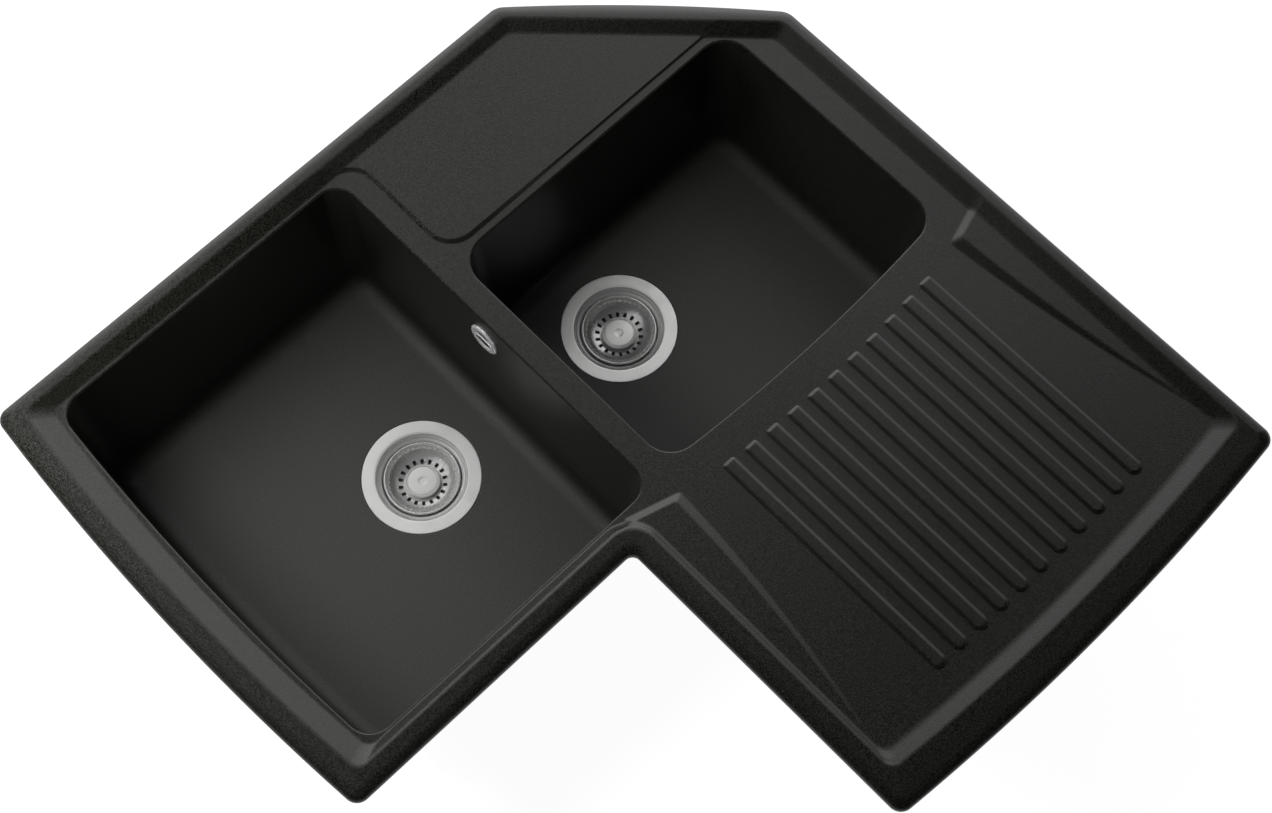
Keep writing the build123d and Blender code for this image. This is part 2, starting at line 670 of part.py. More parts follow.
def basket_stem():
    """The pin that joins cap, basket and plug seal and guides them in the clamping screw."""
    return disc(STEM_R, STEM_LOW, STEM_TOP)


def plug_seal():
    """A rubber disc with a lip that closes the dish's holes when the basket is down."""
    return turned([
        (STEM_R, BASKET_LOW),
        (14.0, BASKET_LOW),
        (16.0, BASKET_LOW - 0.8),
        (PLUG_R - 3.0, BASKET_LOW - 1.1),
        (PLUG_R - 0.5, DISH_FLOOR + 1.5),
        (PLUG_R, DISH_FLOOR),
        (PLUG_R - 2.0, DISH_FLOOR),
        (PLUG_R - PLUG_LIP, PLUG_LOW - 0.6),
        (NUT_FLATS * 0.7, PLUG_LOW),
        (STEM_R, PLUG_LOW),
    ])


def seal_nut():
    """The thin nut that holds the plug seal on the stem."""
    return hexagon(NUT_FLATS, PLUG_LOW - NUT_HEIGHT, PLUG_LOW) - disc(STEM_R, PLUG_LOW - NUT_HEIGHT, PLUG_LOW)


def clamp_screw():
    """The hollow screw that pulls the flange and the waste body together."""
    screw = disc(SCREW_HEAD_R, DISH_FLOOR, DISH_FLOOR + SCREW_HEAD) + disc(SCREW_R, SCREW_LOW, DISH_FLOOR)
    slot = Pos(0, 0, DISH_FLOOR + SCREW_HEAD) * Box(3 * SCREW_HEAD_R, *SCREW_SLOT)
    return screw - disc(SCREW_BORE_R, SCREW_BORE_LOW, DISH_FLOOR + SCREW_HEAD) - slot


def waste_gasket():
    """The thick rubber ring between the casting's drain boss and the waste body."""
    return ring(BODY_RIM_R, DRAIN_R + 0.5, DRAIN_BOSS_LOW - GASKET_THICK, DRAIN_BOSS_LOW)


def waste_body():
    """A plastic cup with a boss on three ribs for the clamping screw, and a threaded outlet."""
    top = DRAIN_BOSS_LOW - GASKET_THICK
    bore = BODY_CUP_R - BODY_WALL
    cup = turned([
        (bore, top),
        (BODY_RIM_R, top),
        (BODY_RIM_R, top - BODY_RIM_THICK),
        (BODY_CUP_R, top - BODY_RIM_THICK - 2),
        (BODY_CUP_R, BODY_CUP_LOW),
        (OUTLET_R, BODY_NECK_TOP),
        (OUTLET_R, OUTLET_END),
        (OUTLET_BORE_R, OUTLET_END),
        (OUTLET_BORE_R, BODY_NECK_TOP + 1),
        (bore, BODY_CUP_LOW + 1.5),
    ])
    boss_top = DISH_FLOOR - SHEET
    reach = bore + 1
    rib = Pos(reach / 2, 0, (BODY_BOSS_LOW + BODY_RIB_TOP) / 2) * Box(
        reach, BODY_RIB_THICK, BODY_RIB_TOP - BODY_BOSS_LOW
    )
    cup += [Rot(0, 0, BODY_RIB_FIRST + 360 / BODY_RIBS * i) * rib for i in range(BODY_RIBS)]
    cup += disc(BODY_BOSS_R, BODY_BOSS_LOW, boss_top)
    return cup - disc(SCREW_R, BODY_BOSS_LOW, boss_top)


def main_waste_body():
    """The same body with a side stub for the overflow pipe."""
    x, y = WASTES["main"]
    stub = along_y(OVERFLOW_X - x, 0, PIPE_Z - FLOOR)
    length = BODY_CUP_R - 6
    body = waste_body() + stub * disc(STUB_R, length, STUB_REACH)
    return body - stub * disc(STUB_BORE_R, length - 2, STUB_REACH)


# ---- rim clips ----
def clip_insert():
    """A threaded brass sleeve moulded into a boss under the rim."""
    return ring(INSERT_R, CLIP_SCREW_R, CLIP_BOSS_LOW, INSERT_TOP)


def clip_screw():
    """A screw with a hexagon socket in its head."""
    head_low = CLIP_LOW - CLIP_HEAD
    flats, depth = CLIP_SOCKET
    screw = disc(CLIP_SCREW_R, CLIP_LOW, INSERT_TOP) + disc(CLIP_HEAD_R, head_low, CLIP_LOW)
    return screw - hexagon(flats, head_low, head_low + depth)


def rim_clip():
    """A bent steel strap, hung on its screw, whose toe bears on the worktop's underside."""
    middle = (CLIP_REACH - CLIP_TAIL) / 2
    strap = Pos(middle, 0, CLIP_LOW + CLIP_SHEET / 2) * Box(CLIP_REACH + CLIP_TAIL, CLIP_WIDTH, CLIP_SHEET)
    toe = Pos(CLIP_REACH - CLIP_SHEET / 2, 0, CLIP_LOW + CLIP_TOE / 2) * Box(CLIP_SHEET, CLIP_WIDTH, CLIP_TOE)
    clip = strap + toe
    bend = clip.edges().filter_by(Axis.Y).sort_by_distance((CLIP_REACH, 0, CLIP_LOW))[0]
    clip = fillet(bend, CLIP_SHEET * 0.9)
    tail = clip.edges().filter_by(Axis.Z).group_by(Axis.X)[0]
    clip = fillet(tail, CLIP_TAIL - 1.0)
    return clip - disc(CLIP_HOLE_R, CLIP_LOW - 1, CLIP_LOW + CLIP_SHEET + 1)


# ---- the assembly ----
def write(name, shape):
    """Moves a piece to the sink's origin and writes it under its own name."""
    moved = Pos(-SEAT_INSET, SEAT_INSET, 0) * shape
    export_step(moved, f"parts/{name}.step")


def main():
    """Makes every piece and writes one file for each."""
    os.makedirs("parts", exist_ok=True)
    write("sink_body", sink_body())

    bodies = {"main": main_waste_body(), "second": waste_body()}
    for bowl, (x, y) in WASTES.items():
        axis = Pos(x, y, FLOOR)
        write(f"{bowl}_strainer_flange", axis * strainer_flange())
        write(f"{bowl}_flange_seal", axis * flange_seal())
        write(f"{bowl}_basket", axis * basket())
        write(f"{bowl}_basket_cap", axis * basket_cap())
        write(f"{bowl}_basket_stem", axis * basket_stem())
        write(f"{bowl}_plug_seal", axis * plug_seal())
        write(f"{bowl}_seal_nut", axis * seal_nut())
        write(f"{bowl}_clamp_screw", axis * clamp_screw())
        write(f"{bowl}_waste_gasket", axis * waste_gasket())
        write(f"{bowl}_waste_body", axis * bodies[bowl])

    write("overflow_rosette", overflow_rosette())
    write("overflow_seal", overflow_seal())
    write("overflow_housing", overflow_housing())
    write("overflow_pipe", overflow_pipe())
    write("overflow_pipe_seal", pipe_seal())
    write("overflow_pipe_nut", pipe_nut())

    places = clip_places()
    write("clip_inserts", Compound([Pos(x, y, 0) * clip_insert() for x, y, _ in places]))
    write("clip_screws", Compound([Pos(x, y, 0) * clip_screw() for x, y, _ in places]))
    for number, (x, y, outward) in enumerate(places, start=1):
        # At rest each strap lies along the rim, a quarter turn short of pointing out.
        write(f"rim_clip_{number}", Pos(x, y, 0) * Rot(0, 0, outward - 90) * rim_clip())


main()
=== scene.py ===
"""Looks of a corner kitchen sink: an L-shaped casting of near-black granite composite with two bowls,
their stainless basket strainers and an overflow, and the clips and wastes under it."""

import math

import bmesh
import bpy
import numpy as np
from mathutils import Matrix, Vector
from mathutils.geometry import delaunay_2d_cdt


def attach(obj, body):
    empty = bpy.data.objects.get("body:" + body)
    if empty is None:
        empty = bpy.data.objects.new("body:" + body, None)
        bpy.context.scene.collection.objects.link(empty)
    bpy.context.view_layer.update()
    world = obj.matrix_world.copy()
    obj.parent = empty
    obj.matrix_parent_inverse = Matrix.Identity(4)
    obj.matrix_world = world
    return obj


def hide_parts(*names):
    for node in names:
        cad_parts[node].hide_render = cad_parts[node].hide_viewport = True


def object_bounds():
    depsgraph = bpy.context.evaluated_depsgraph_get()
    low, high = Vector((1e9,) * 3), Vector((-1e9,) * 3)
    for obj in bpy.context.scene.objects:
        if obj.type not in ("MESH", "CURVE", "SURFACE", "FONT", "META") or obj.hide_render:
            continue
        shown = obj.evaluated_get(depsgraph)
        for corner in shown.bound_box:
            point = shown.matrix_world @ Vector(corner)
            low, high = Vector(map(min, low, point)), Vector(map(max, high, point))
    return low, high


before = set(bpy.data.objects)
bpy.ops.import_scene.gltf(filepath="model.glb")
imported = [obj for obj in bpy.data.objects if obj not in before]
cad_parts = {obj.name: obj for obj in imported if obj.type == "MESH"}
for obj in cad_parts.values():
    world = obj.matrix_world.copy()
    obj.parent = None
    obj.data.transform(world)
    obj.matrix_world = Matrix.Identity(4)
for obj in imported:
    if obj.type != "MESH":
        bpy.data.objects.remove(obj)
cad_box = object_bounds()

# ---- camera ----
# The photograph looks down on the sink from in front of its inside corner, a little turned.
CAMERA_PLACE = (0.79191, -0.78598, 1.83336)
CAMERA_BACK = Vector((0.26004, -0.25750, 0.93063))
CAMERA_LEVEL = Vector((0.70363, 0.71057, 0.0))
CAMERA_ROLL = math.radians(0.635886)
CAMERA_LENS = 63.712
CAMERA_SENSOR = 36.0
CAMERA_REACH = 20.0

camera_data = bpy.data.cameras.new("camera")
camera_data.lens = CAMERA_LENS
camera_data.sensor_width = CAMERA_SENSOR
camera_data.clip_end = CAMERA_REACH
camera = bpy.data.objects.new("camera", camera_data)
bpy.context.scene.collection.objects.link(camera)
camera_up = CAMERA_BACK.cross(CAMERA_LEVEL)
turned_x = math.cos(CAMERA_ROLL) * CAMERA_LEVEL + math.sin(CAMERA_ROLL) * camera_up
turned_y = -math.sin(CAMERA_ROLL) * CAMERA_LEVEL + math.cos(CAMERA_ROLL) * camera_up
turn = Matrix((turned_x, turned_y, CAMERA_BACK)).transposed()
camera.matrix_world = Matrix.Translation(CAMERA_PLACE) @ turn.to_4x4()
bpy.context.scene.camera = camera

# ---- floor and light ----
# A white studio: a white floor at the foot of the wastes, a room that is bright at the back left, and
# soft boxes overhead and at the front left.
FLOOR_HALF = 9.0
FLOOR_WHITE = 1.12
FLOOR_SHARE = 0.85
floor_z = cad_box[0].z
floor_mesh = bpy.data.meshes.new("studio_floor")
floor_corners = np.array([(-1, -1), (1, -1), (1, 1), (-1, 1)]) * FLOOR_HALF
floor_mesh.from_pydata([(x, y, floor_z) for x, y in floor_corners.tolist()], [], [(0, 1, 2, 3)])
floor = bpy.data.objects.new("studio_floor", floor_mesh)
bpy.context.scene.collection.objects.link(floor)


def place_math(tree, operation, first, second, third=0.0):
    """A Math node in a tree; each of its inputs is a number or another node's output."""
    node = tree.nodes.new("ShaderNodeMath")
    node.operation = operation
    for socket, value in zip(node.inputs, (first, second, third)):
        if isinstance(value, (int, float)):
            socket.default_value = value
        else:
            tree.links.new(value, socket)
    return node.outputs[0]


def place_range(tree, value, low, high, top=1.0):
    """A Map Range node whose output eases from 0, where a value is at low, to top, where it is at high."""
    node = tree.nodes.new("ShaderNodeMapRange")
    node.interpolation_type = "SMOOTHSTEP"
    tree.links.new(value, node.inputs["Value"])
    limits = (low, high, 0.0, top)
    for socket, limit in zip(("From Min", "From Max", "To Min", "To Max"), limits):
        node.inputs[socket].default_value = limit
    return node.outputs[0]


def mix_shaders(tree, share, first, second, output):
    """Mixes two shaders by a share and joins the mix to an output node."""
    mix = tree.nodes.new("ShaderNodeMixShader")
    tree.links.new(share, mix.inputs[0])
    tree.links.new(first.outputs[0], mix.inputs[1])
    tree.links.new(second.outputs[0], mix.inputs[2])
    tree.links.new(mix.outputs[0], tree.nodes.new(output).inputs[0])


# The camera, and mirror images in the object, see the floor as white; it still takes a faint shadow.
floor_paint = bpy.data.materials.new("studio_white")
floor_paint.use_nodes = True
tree = floor_paint.node_tree
tree.nodes.clear()
matt_white = tree.nodes.new("ShaderNodeBsdfDiffuse")
matt_white.inputs["Color"].default_value = (0.9, 0.9, 0.9, 1)
glow = tree.nodes.new("ShaderNodeEmission")
glow.inputs["Strength"].default_value = FLOOR_WHITE
rays = tree.nodes.new("ShaderNodeLightPath").outputs
seen = place_math(tree, "MAXIMUM", rays["Is Camera Ray"], rays["Is Glossy Ray"])
seen = place_math(tree, "MAXIMUM", seen, rays["Is Transmission Ray"])
glow_share = place_math(tree, "MULTIPLY", seen, FLOOR_SHARE)
mix_shaders(tree, glow_share, matt_white, glow, "ShaderNodeOutputMaterial")
floor_mesh.materials.append(floor_paint)

# The room's light grows from dark at the front right to bright at the back left; near the horizon it
# is a pale wall all round. The camera alone sees plain white instead.
BRIGHT_SIDE = Vector((-0.78, 0.61, 0.1)).normalized()
LIGHT_POWER = 4.4
LIGHT_GAIN = 5.0
LIGHT_PEAK = 3.0
WALL_GLOW = 0.5
WALL_FADES = (0.5, 0.2)

world = bpy.data.worlds.new("studio")
world.use_nodes = True
bpy.context.scene.world = world
tree = world.node_tree
tree.nodes.clear()
direction = tree.nodes.new("ShaderNodeTexCoord").outputs["Generated"]
towards = tree.nodes.new("ShaderNodeVectorMath")
towards.operation = "DOT_PRODUCT"
towards.inputs[1].default_value = BRIGHT_SIDE
parts = tree.nodes.new("ShaderNodeSeparateXYZ")
tree.links.new(direction, towards.inputs[0])
tree.links.new(direction, parts.inputs[0])
facing = place_math(tree, "MAXIMUM", towards.outputs["Value"], 0.0)
bright = place_math(tree, "MULTIPLY", place_math(tree, "POWER", facing, LIGHT_POWER), LIGHT_GAIN)
bright = place_math(tree, "MINIMUM", bright, LIGHT_PEAK)
low_wall = place_range(tree, parts.outputs["Z"], *WALL_FADES, WALL_GLOW)
room = tree.nodes.new("ShaderNodeBackground")
tree.links.new(place_math(tree, "MAXIMUM", bright, low_wall), room.inputs["Strength"])
backdrop = tree.nodes.new("ShaderNodeBackground")
backdrop.inputs["Color"].default_value = (1, 1, 1, 1)
rays = tree.nodes.new("ShaderNodeLightPath").outputs
mix_shaders(tree, rays["Is Camera Ray"], room, backdrop, "ShaderNodeOutputWorld")

# Soft boxes: large ones overhead, whose mirror image ends on the right arm, and a low one over the main
# bowl; then three that don't show as mirror images and light only matt surfaces. Each is its left, right,
# front and back edge, its height and its radiance.
GLOSSY_BOXES = {
    "overhead_box": (-1.0, 0.05, -0.9, 1.0, 1.5, 0.39),
    "back_box": (-1.2, 0.5, 0.62, 1.5, 1.52, 0.5),
    "front_edge_box": (-1.0, 0.0, -1.9, -0.9, 1.5, 0.3),
    "main_bowl_box": (-0.45, -0.08, -0.62, -0.2, 0.5, 0.1),
}
MATT_BOXES = {
    "matt_box": (-0.9, 1.3, -1.5, 0.7, 2.4, 0.4),
    "front_left_box": (-0.75, -0.12, -1.15, -0.55, 0.45, 13.0),
    "front_box": (-0.3, 0.1, -1.3, -0.8, 1.2, 28.0),
}
for name, (left, right, front, back, height, radiance) in {**GLOSSY_BOXES, **MATT_BOXES}.items():
    lamp = bpy.data.lights.new(name, "AREA")
    lamp.shape = "RECTANGLE"
    lamp.size = right - left
    lamp.size_y = back - front
    lamp.energy = radiance * lamp.size * lamp.size_y * math.pi
    soft_box = bpy.data.objects.new(name, lamp)
    bpy.context.scene.collection.objects.link(soft_box)
    soft_box.location = ((left + right) / 2, (front + back) / 2, height)
    soft_box.visible_camera = False
    soft_box.visible_glossy = name in GLOSSY_BOXES

bpy.context.scene.view_settings.view_transform = "Standard"

# ---- sink body ----
# The real piece is one casting of quartz-filled resin: rim, ledge, tap deck, two bowls and drainer.
# It is poured between two moulds, so every edge is soft, and its clips screw into it from below.
# Plan places are in millimetres from the wall corner, where the two back edges would meet.
ARM_LENGTH = 800.0
END_BOW = 11.5
ARM_DEPTH = 475.0
CORNER_CUT = 194.0
CUT_BOW = 5.0
SEAT_INSET = 100.0
SLAB_LOW = -8.0
SLAB_INSET = 12.0
SLAB_ROUND = 0.2
SEAT_ROUND = 1.0
EDGE_ROUND = 1.2
CROWN_RUN = 10.5
CROWN_RISE = 7.0
RIM_TOP = 9.0
RIM_LEAN = 0.06
LEDGE = 0.5
# Insets of the seven sides: back, right end, right front, left front, left end, left back, corner cut.
RIM_FLAT = np.array([13.5, 30.5, 22.0, 21.3, 20.5, 15.5, 14.0])
SLOPE_FOOT = np.array([27.0, 45.5, 27.5, 30.6, 40.5, 28.0, 27.0])
CREST_HALF = np.array([2.2, 2.0, 2.2, 2.2, 2.6, 2.4, 2.4])
FOOT_HALF = np.array([2.6, 3.0, 1.6, 1.2, 1.3, 1.8, 2.0])


def plan_loop(corners, bows, rounds, along, turn_steps):
    """A closed plan curve, clockwise from above, and how much each point belongs to each side.
    A side is its chord plus a parabola of the given bow. A corner is a cubic arc that leaves one side
    and joins the next where a circle of its radius would touch them. along holds, for each side, the
    shares of its length at which it has points; turn_steps is the number of points on each corner."""
    corners = np.asarray(corners, float)
    count = len(corners)
    chord = np.roll(corners, -1, axis=0) - corners
    length = np.hypot(chord[:, 0], chord[:, 1])
    outward = np.stack([-chord[:, 1], chord[:, 0]], axis=1) / length[:, None]

    def place(side, share):
        share = np.atleast_1d(share)[:, None]
        bow = 4 * bows[side] * share * (1 - share)
        return corners[side] + chord[side] * share + outward[side] * bow

    def heading(side, share):
        slope = chord[side] + outward[side] * 4 * bows[side] * (1 - 2 * share)
        return slope / np.hypot(*slope)

    trims = []
    for corner in range(count):
        before = corner - 1
        turn = np.dot(heading(before, 1.0), heading(corner, 0.0))
        angle = math.acos(max(-1.0, min(1.0, turn)))
        trims.append((rounds[corner] * math.tan(angle / 2), 4 / 3 * math.tan(angle / 4) * rounds[corner]))
    points = []
    belongs = []
    for corner in range(count):
        before = corner - 1
        trim, handle = trims[corner]
        leave = 1 - trim / length[before]
        join = trim / length[corner]
        start = place(before, leave)[0]
        end = place(corner, join)[0]
        first = start + heading(before, leave) * handle
        second = end - heading(corner, join) * handle
        t = np.linspace(0, 1, turn_steps[corner])[:, None]
        arc = start * (1 - t) ** 3 + 3 * first * t * (1 - t) ** 2 + 3 * second * t * t * (1 - t) + end * t**3
        share = np.zeros((len(t), count))
        share[:, before] = 1 - t[:, 0]
        share[:, corner] = t[:, 0]
        points.append(arc)
        belongs.append(share)
        far = 1 - trims[(corner + 1) % count][0] / length[corner]
        on_side = join + (far - join) * along[corner]
        share = np.zeros((len(on_side), count))
        share[:, corner] = 1
        points.append(place(corner, on_side))
        belongs.append(share)
    return np.concatenate(points), np.concatenate(belongs)


def spread(*stops):
    """Shares of a side: each stop is (share reached, number of points up to it)."""
    shares = []
    reached = 0.0
    for share, number in stops:
        shares.append(reached + (share - reached) * (np.arange(number) + 1) / number)
        reached = share
    return np.concatenate(shares)[:-1]


# Points lie closer where the tap deck and the pads run into the rim.
RIM_ALONG = [
    spread((0.42, 24), (0.52, 60), (1.0, 28)),
    spread((1.0, 48)),
    spread((0.9, 24), (1.0, 16)),
    spread((0.06, 14), (1.0, 26)),
    spread((1.0, 48)),
    spread((0.56, 30), (0.64, 52), (1.0, 20)),
    spread((0.6, 30), (0.95, 100), (1.0, 6)),
]
RIM_TURNS = (12, 12, 12, 30, 12, 12, 12)


def arm_loop(insets, rounds, cut_bow):
    """The L-shaped outline with each side moved in by its own inset. The rounds are the corner radii at
    the tips, at the corner cut and in the inside corner."""
    back, right, front_r, front_l, end, left, corner = insets
    tip, cut, inside = rounds
    tip_x = ARM_LENGTH - END_BOW
    reach = CORNER_CUT + corner * math.sqrt(2)
    corners = [
        (reach - back, -back),
        (tip_x - right, -back),
        (tip_x - right, front_r - ARM_DEPTH),
        (ARM_DEPTH - front_l, front_r - ARM_DEPTH),
        (ARM_DEPTH - front_l, end - tip_x),
        (left, end - tip_x),
        (left, left - reach),
    ]
    bows = (0, END_BOW, 0, 0, END_BOW, 0, cut_bow)
    return plan_loop(corners, bows, (cut, tip, tip, inside, tip, tip, cut), RIM_ALONG, RIM_TURNS)


def box_corners(left, right, back, front):
    """The corners of a rectangle, clockwise from above."""
    return [(left, back), (right, back), (right, front), (left, front)]


def soft_max(a, b, blend):
    """The larger of two heights, with a parabola where they are closer than blend."""
    near = np.maximum(blend - np.abs(a - b), 0)
    return np.maximum(a, b) + near * near / (4 * blend)


DRAINER_START = 450.0
DRAINER_RUN = 310.0
DRAINER_RISE = 4.5
PAD_TOP = 4.6
PAD_START = 467.0
PAD_REACH = 42.5
# Each pad: its long side's run, y at the start, drift and bow; the falls beyond its long and its short
# side; and how far its short side turns off square.
BACK_PAD = (260.0, -55.5, 29.9, -4.5)
BACK_PAD_FALLS = (0.42, 0.58)
BACK_PAD_TURN = 0.299
FRONT_PAD = (238.0, -415.5, -25.5, 5.0)
FRONT_PAD_FALLS = (0.46, 0.6)
FRONT_PAD_TURN = 0.294
FRONT_PAD_TAIL = 0.3
PAD_BEHIND = 20.0
DECK_TOP = 3.1
DECK_RIGHT = 157.0
DECK_FRONT = -396.2
DECK_CORNER = 27.0
DECK_SWEEP = 26.0
DECK_SWEEP_X = 52.0
DECK_END = -411.0
DECK_FADE = 0.35
STEP_NARROW = 1.3
STEP_WIDER = 1.9
STEP_WIDENS = -250.0
STEP_WIDENING = 120.0
STEP_EASE = 0.22
# How closely two heights come before they join softly: drainer and ledge, a pad's two sides, its sides
# and its top, the two pads, and pads and drainer.
DRAINER_BLEND = 0.25
PAD_CORNER_BLEND = 1.6
PAD_EDGE_BLEND = 0.7
PADS_BLEND = 0.1
LEDGE_BLEND = 0.5


def drainer_height(x):
    """The ledge's level, and a plane that rises from the drainer's start towards its end."""
    fall = DRAINER_RISE / DRAINER_RUN
    return LEDGE + soft_max(fall * (x - DRAINER_START), np.zeros_like(x), DRAINER_BLEND)


def pad_height(across, beside):
    """A level pad whose side slopes away: the two heights lost beyond its long and its short side are
    joined softly, and taken off its top."""
    lost = soft_max(across, beside, PAD_CORNER_BLEND)
    return PAD_TOP - soft_max(lost, np.zeros_like(lost), PAD_EDGE_BLEND)


def pad_edge(x, run, start_y, drift, bow):
    """The y of a pad's long side: a straight line along its run, plus a parabola."""
    share = np.clip((x - PAD_START) / run, 0, 1.1)
    return start_y + drift * share + bow * 4 * share * (1 - share)


def ledge_height(x, y):
    """Height of everything inside the rim's foot but outside the bowls, without the ribs."""
    long_fall, short_fall = BACK_PAD_FALLS
    across = long_fall * (pad_edge(x, *BACK_PAD) - y)
    beside = short_fall * (PAD_START - x + (BACK_PAD[1] - y) * BACK_PAD_TURN)
    back_pad = pad_height(across, beside)
    long_fall, short_fall = FRONT_PAD_FALLS
    across = long_fall * (y - pad_edge(x, *FRONT_PAD))
    side_x = PAD_START - FRONT_PAD_TURN * np.clip(FRONT_PAD[1] - y, -PAD_BEHIND, PAD_REACH)
    past_end = FRONT_PAD_TAIL * np.maximum(FRONT_PAD[1] - PAD_REACH - y, 0)
    front_pad = pad_height(across, short_fall * (side_x - x) + past_end)
    pads = soft_max(back_pad, front_pad, PADS_BLEND)
    height = soft_max(drainer_height(x), pads, LEDGE_BLEND)
    return np.maximum(height, LEDGE) + deck_step(x, y)


def deck_distance(x, y):
    """How far a place lies outside the tap deck's edge: a round corner at the right, and a sweep
    towards the rim at the left."""
    a = x - (DECK_RIGHT - DECK_CORNER)
    b = DECK_FRONT + DECK_CORNER - y
    corner = np.where((a > 0) & (b > 0), np.hypot(a, b), np.maximum(a, b)) - DECK_CORNER
    low = DECK_FRONT - DECK_SWEEP
    sweep = DECK_SWEEP - np.hypot(DECK_SWEEP_X - x, np.maximum(y - low, 0))
    fading = DECK_FADE * np.maximum(DECK_END - y, 0)
    return np.where(x < DECK_SWEEP_X, sweep + fading, corner)


def step_width(y):
    """Width of the tap deck's step: narrow at the back, wider along its front."""
    return STEP_NARROW + STEP_WIDER * np.clip((STEP_WIDENS - y) / STEP_WIDENING, 0, 1)


def deck_step(x, y):
    """The step up to the tap deck, as a height above the ledge."""
    t = deck_distance(x, y) / step_width(y) + 0.5
    return (DECK_TOP - LEDGE) * eased_drop(t, STEP_EASE, STEP_EASE)


def eased_drop(t, crest, foot):
    """1 before t = 0 and 0 after t = 1, straight between, with a parabola over each end."""
    drop = np.clip(1 - t, 0, 1)
    drop = np.where(np.abs(t) < crest, 1 - (t + crest) ** 2 / (4 * crest), drop)
    return np.where(np.abs(t - 1) < foot, (1 + foot - t) ** 2 / (4 * foot), drop)


# Points nearer to each other than this, in metres, are made one.
MERGE = 2e-6


class Skin:
    """Collects vertices and faces of one closed surface, in millimetres from the wall corner. back is
    set to 1 while a moulded underside is added, and backs keeps it for each vertex."""

    def __init__(self):
        self.vertices = []
        self.faces = []
        self.backs = []
        self.back = 0.0
        self.count = 0

    def add(self, vertices, faces):
        """Adds vertices, and faces as rows of indices of those vertices."""
        self.vertices.append(vertices)
        self.backs.append(np.full(len(vertices), self.back))
        self.faces += (np.asarray(faces) + self.count).tolist()
        self.count += len(vertices)

    def band(self, loops, round_again=False):
        """Joins loops of equal numbers of points, each to the next, and the last to the first if the
        outline goes round again, with four-sided faces."""
        loops = np.asarray(loops)
        rows, columns = loops.shape[:2]
        index = np.arange(rows * columns).reshape(rows, columns)
        if round_again:
            index = np.concatenate([index, index[:1]])
        ahead = np.roll(index, -1, axis=1)
        quads = np.stack([index[:-1], ahead[:-1], ahead[1:], index[1:]], axis=-1)
        self.add(loops.reshape(-1, 3), quads.reshape(-1, 4))

    def lid(self, ring):
        """Closes a ring with one flat face."""
        self.add(ring, [list(range(len(ring)))])

    def cover(self, outline, holes=(), free=None, height=None):
        """Fills the plan between an outline and its holes. Loops carry their own heights, and free
        points get theirs from a function of the plan."""
        rings = [outline, *holes]
        points = np.concatenate(rings)
        if free is not None:
            lifted = np.column_stack([free, height(free[:, 0], free[:, 1])])
            points = np.concatenate([points, lifted])
        edges = []
        start = 0
        for ring in rings:
            index = start + np.arange(len(ring))
            edges += np.stack([index, np.roll(index, -1)], axis=1).tolist()
            start += len(ring)
        flat = [Vector(p) for p in points[:, :2].tolist()]
        made = delaunay_2d_cdt(flat, edges, [], 1, 1e-5, True)
        source = np.array([ids[0] for ids in made[3]])
        triangles = source[np.array(made[2])]
        middle = points[triangles, :2].mean(axis=1)
        self.add(points, triangles[between(middle, outline, holes)])

    def build(self, name, mark=None, values=None):
        """Makes the mesh, with doubled points merged and all faces turned outwards. A mark is an
        attribute with a value for each point, for the material to read."""
        points = np.concatenate(self.vertices)
        mesh = bpy.data.meshes.new(name)
        mesh.from_pydata(((points + (-SEAT_INSET, SEAT_INSET, 0)) / 1000).tolist(), [], self.faces)
        if mark:
            layer = mesh.attributes.new(mark, "FLOAT", "POINT")
            layer.data.foreach_set("value", np.asarray(values, np.float32))
        work = bmesh.new()
        work.from_mesh(mesh)
        bmesh.ops.remove_doubles(work, verts=work.verts, dist=MERGE)
        bmesh.ops.recalc_face_normals(work, faces=work.faces)
        if work.calc_volume(signed=True) < 0:
            bmesh.ops.reverse_faces(work, faces=work.faces)
        work.to_mesh(mesh)
        work.free()
        mesh.shade_smooth()
        mesh.set_sharp_from_angle(angle=math.radians(40))
        made = bpy.data.objects.new(name, mesh)
        bpy.context.scene.collection.objects.link(made)
        made.modifiers.new("even_normals", "WEIGHTED_NORMAL").keep_sharp = True
        return made


def within(points, ring):
    """Which plan points lie inside a ring, by how often a ray to the right crosses it."""
    x, y = points[:, 0:1], points[:, 1:2]
    x0, y0 = ring[:, 0], ring[:, 1]
    x1, y1 = np.roll(x0, -1), np.roll(y0, -1)
    crosses = (y0 > y) != (y1 > y)
    rise = np.where(y1 == y0, 1e-9, y1 - y0)
    return (crosses & (x < x0 + (y - y0) * (x1 - x0) / rise)).sum(axis=1) % 2 == 1


def between(points, outline, holes):
    """Which plan points lie inside an outline and outside its holes."""
    keep = within(points, outline)
    for hole in holes:
        keep &= ~within(points, hole)
    return keep


def distance_to(points, ring):
    """Distance from each plan point to the nearest point of a ring, found in blocks of points."""
    gaps = []
    for block in np.array_split(points, len(points) // 2000 + 1):
        away = block[:, None] - ring[None, :, :2]
        gaps.append(np.hypot(away[..., 0], away[..., 1]).min(axis=1))
    return np.concatenate(gaps)


def level_grid(outline, holes, step=20.0):
    """Plan points of an even grid inside an outline and clear of its edge and of its holes."""
    low, high = outline[:, :2].min(axis=0), outline[:, :2].max(axis=0)
    x, y = np.meshgrid(np.arange(low[0], high[0], step), np.arange(low[1], high[1], step))
    points = np.column_stack([x.ravel(), y.ravel()])
    keep = between(points, outline, holes)
    for ring in (outline, *holes):
        keep &= distance_to(points, ring) > step / 3
    return points[keep]


def level_cover(skin, outline, holes):
    """Covers a level face between an outline and its holes, with a grid of points between them."""
    level = outline[0, 2]
    skin.cover(outline, holes, level_grid(outline, holes), lambda x, y: np.full_like(x, level))


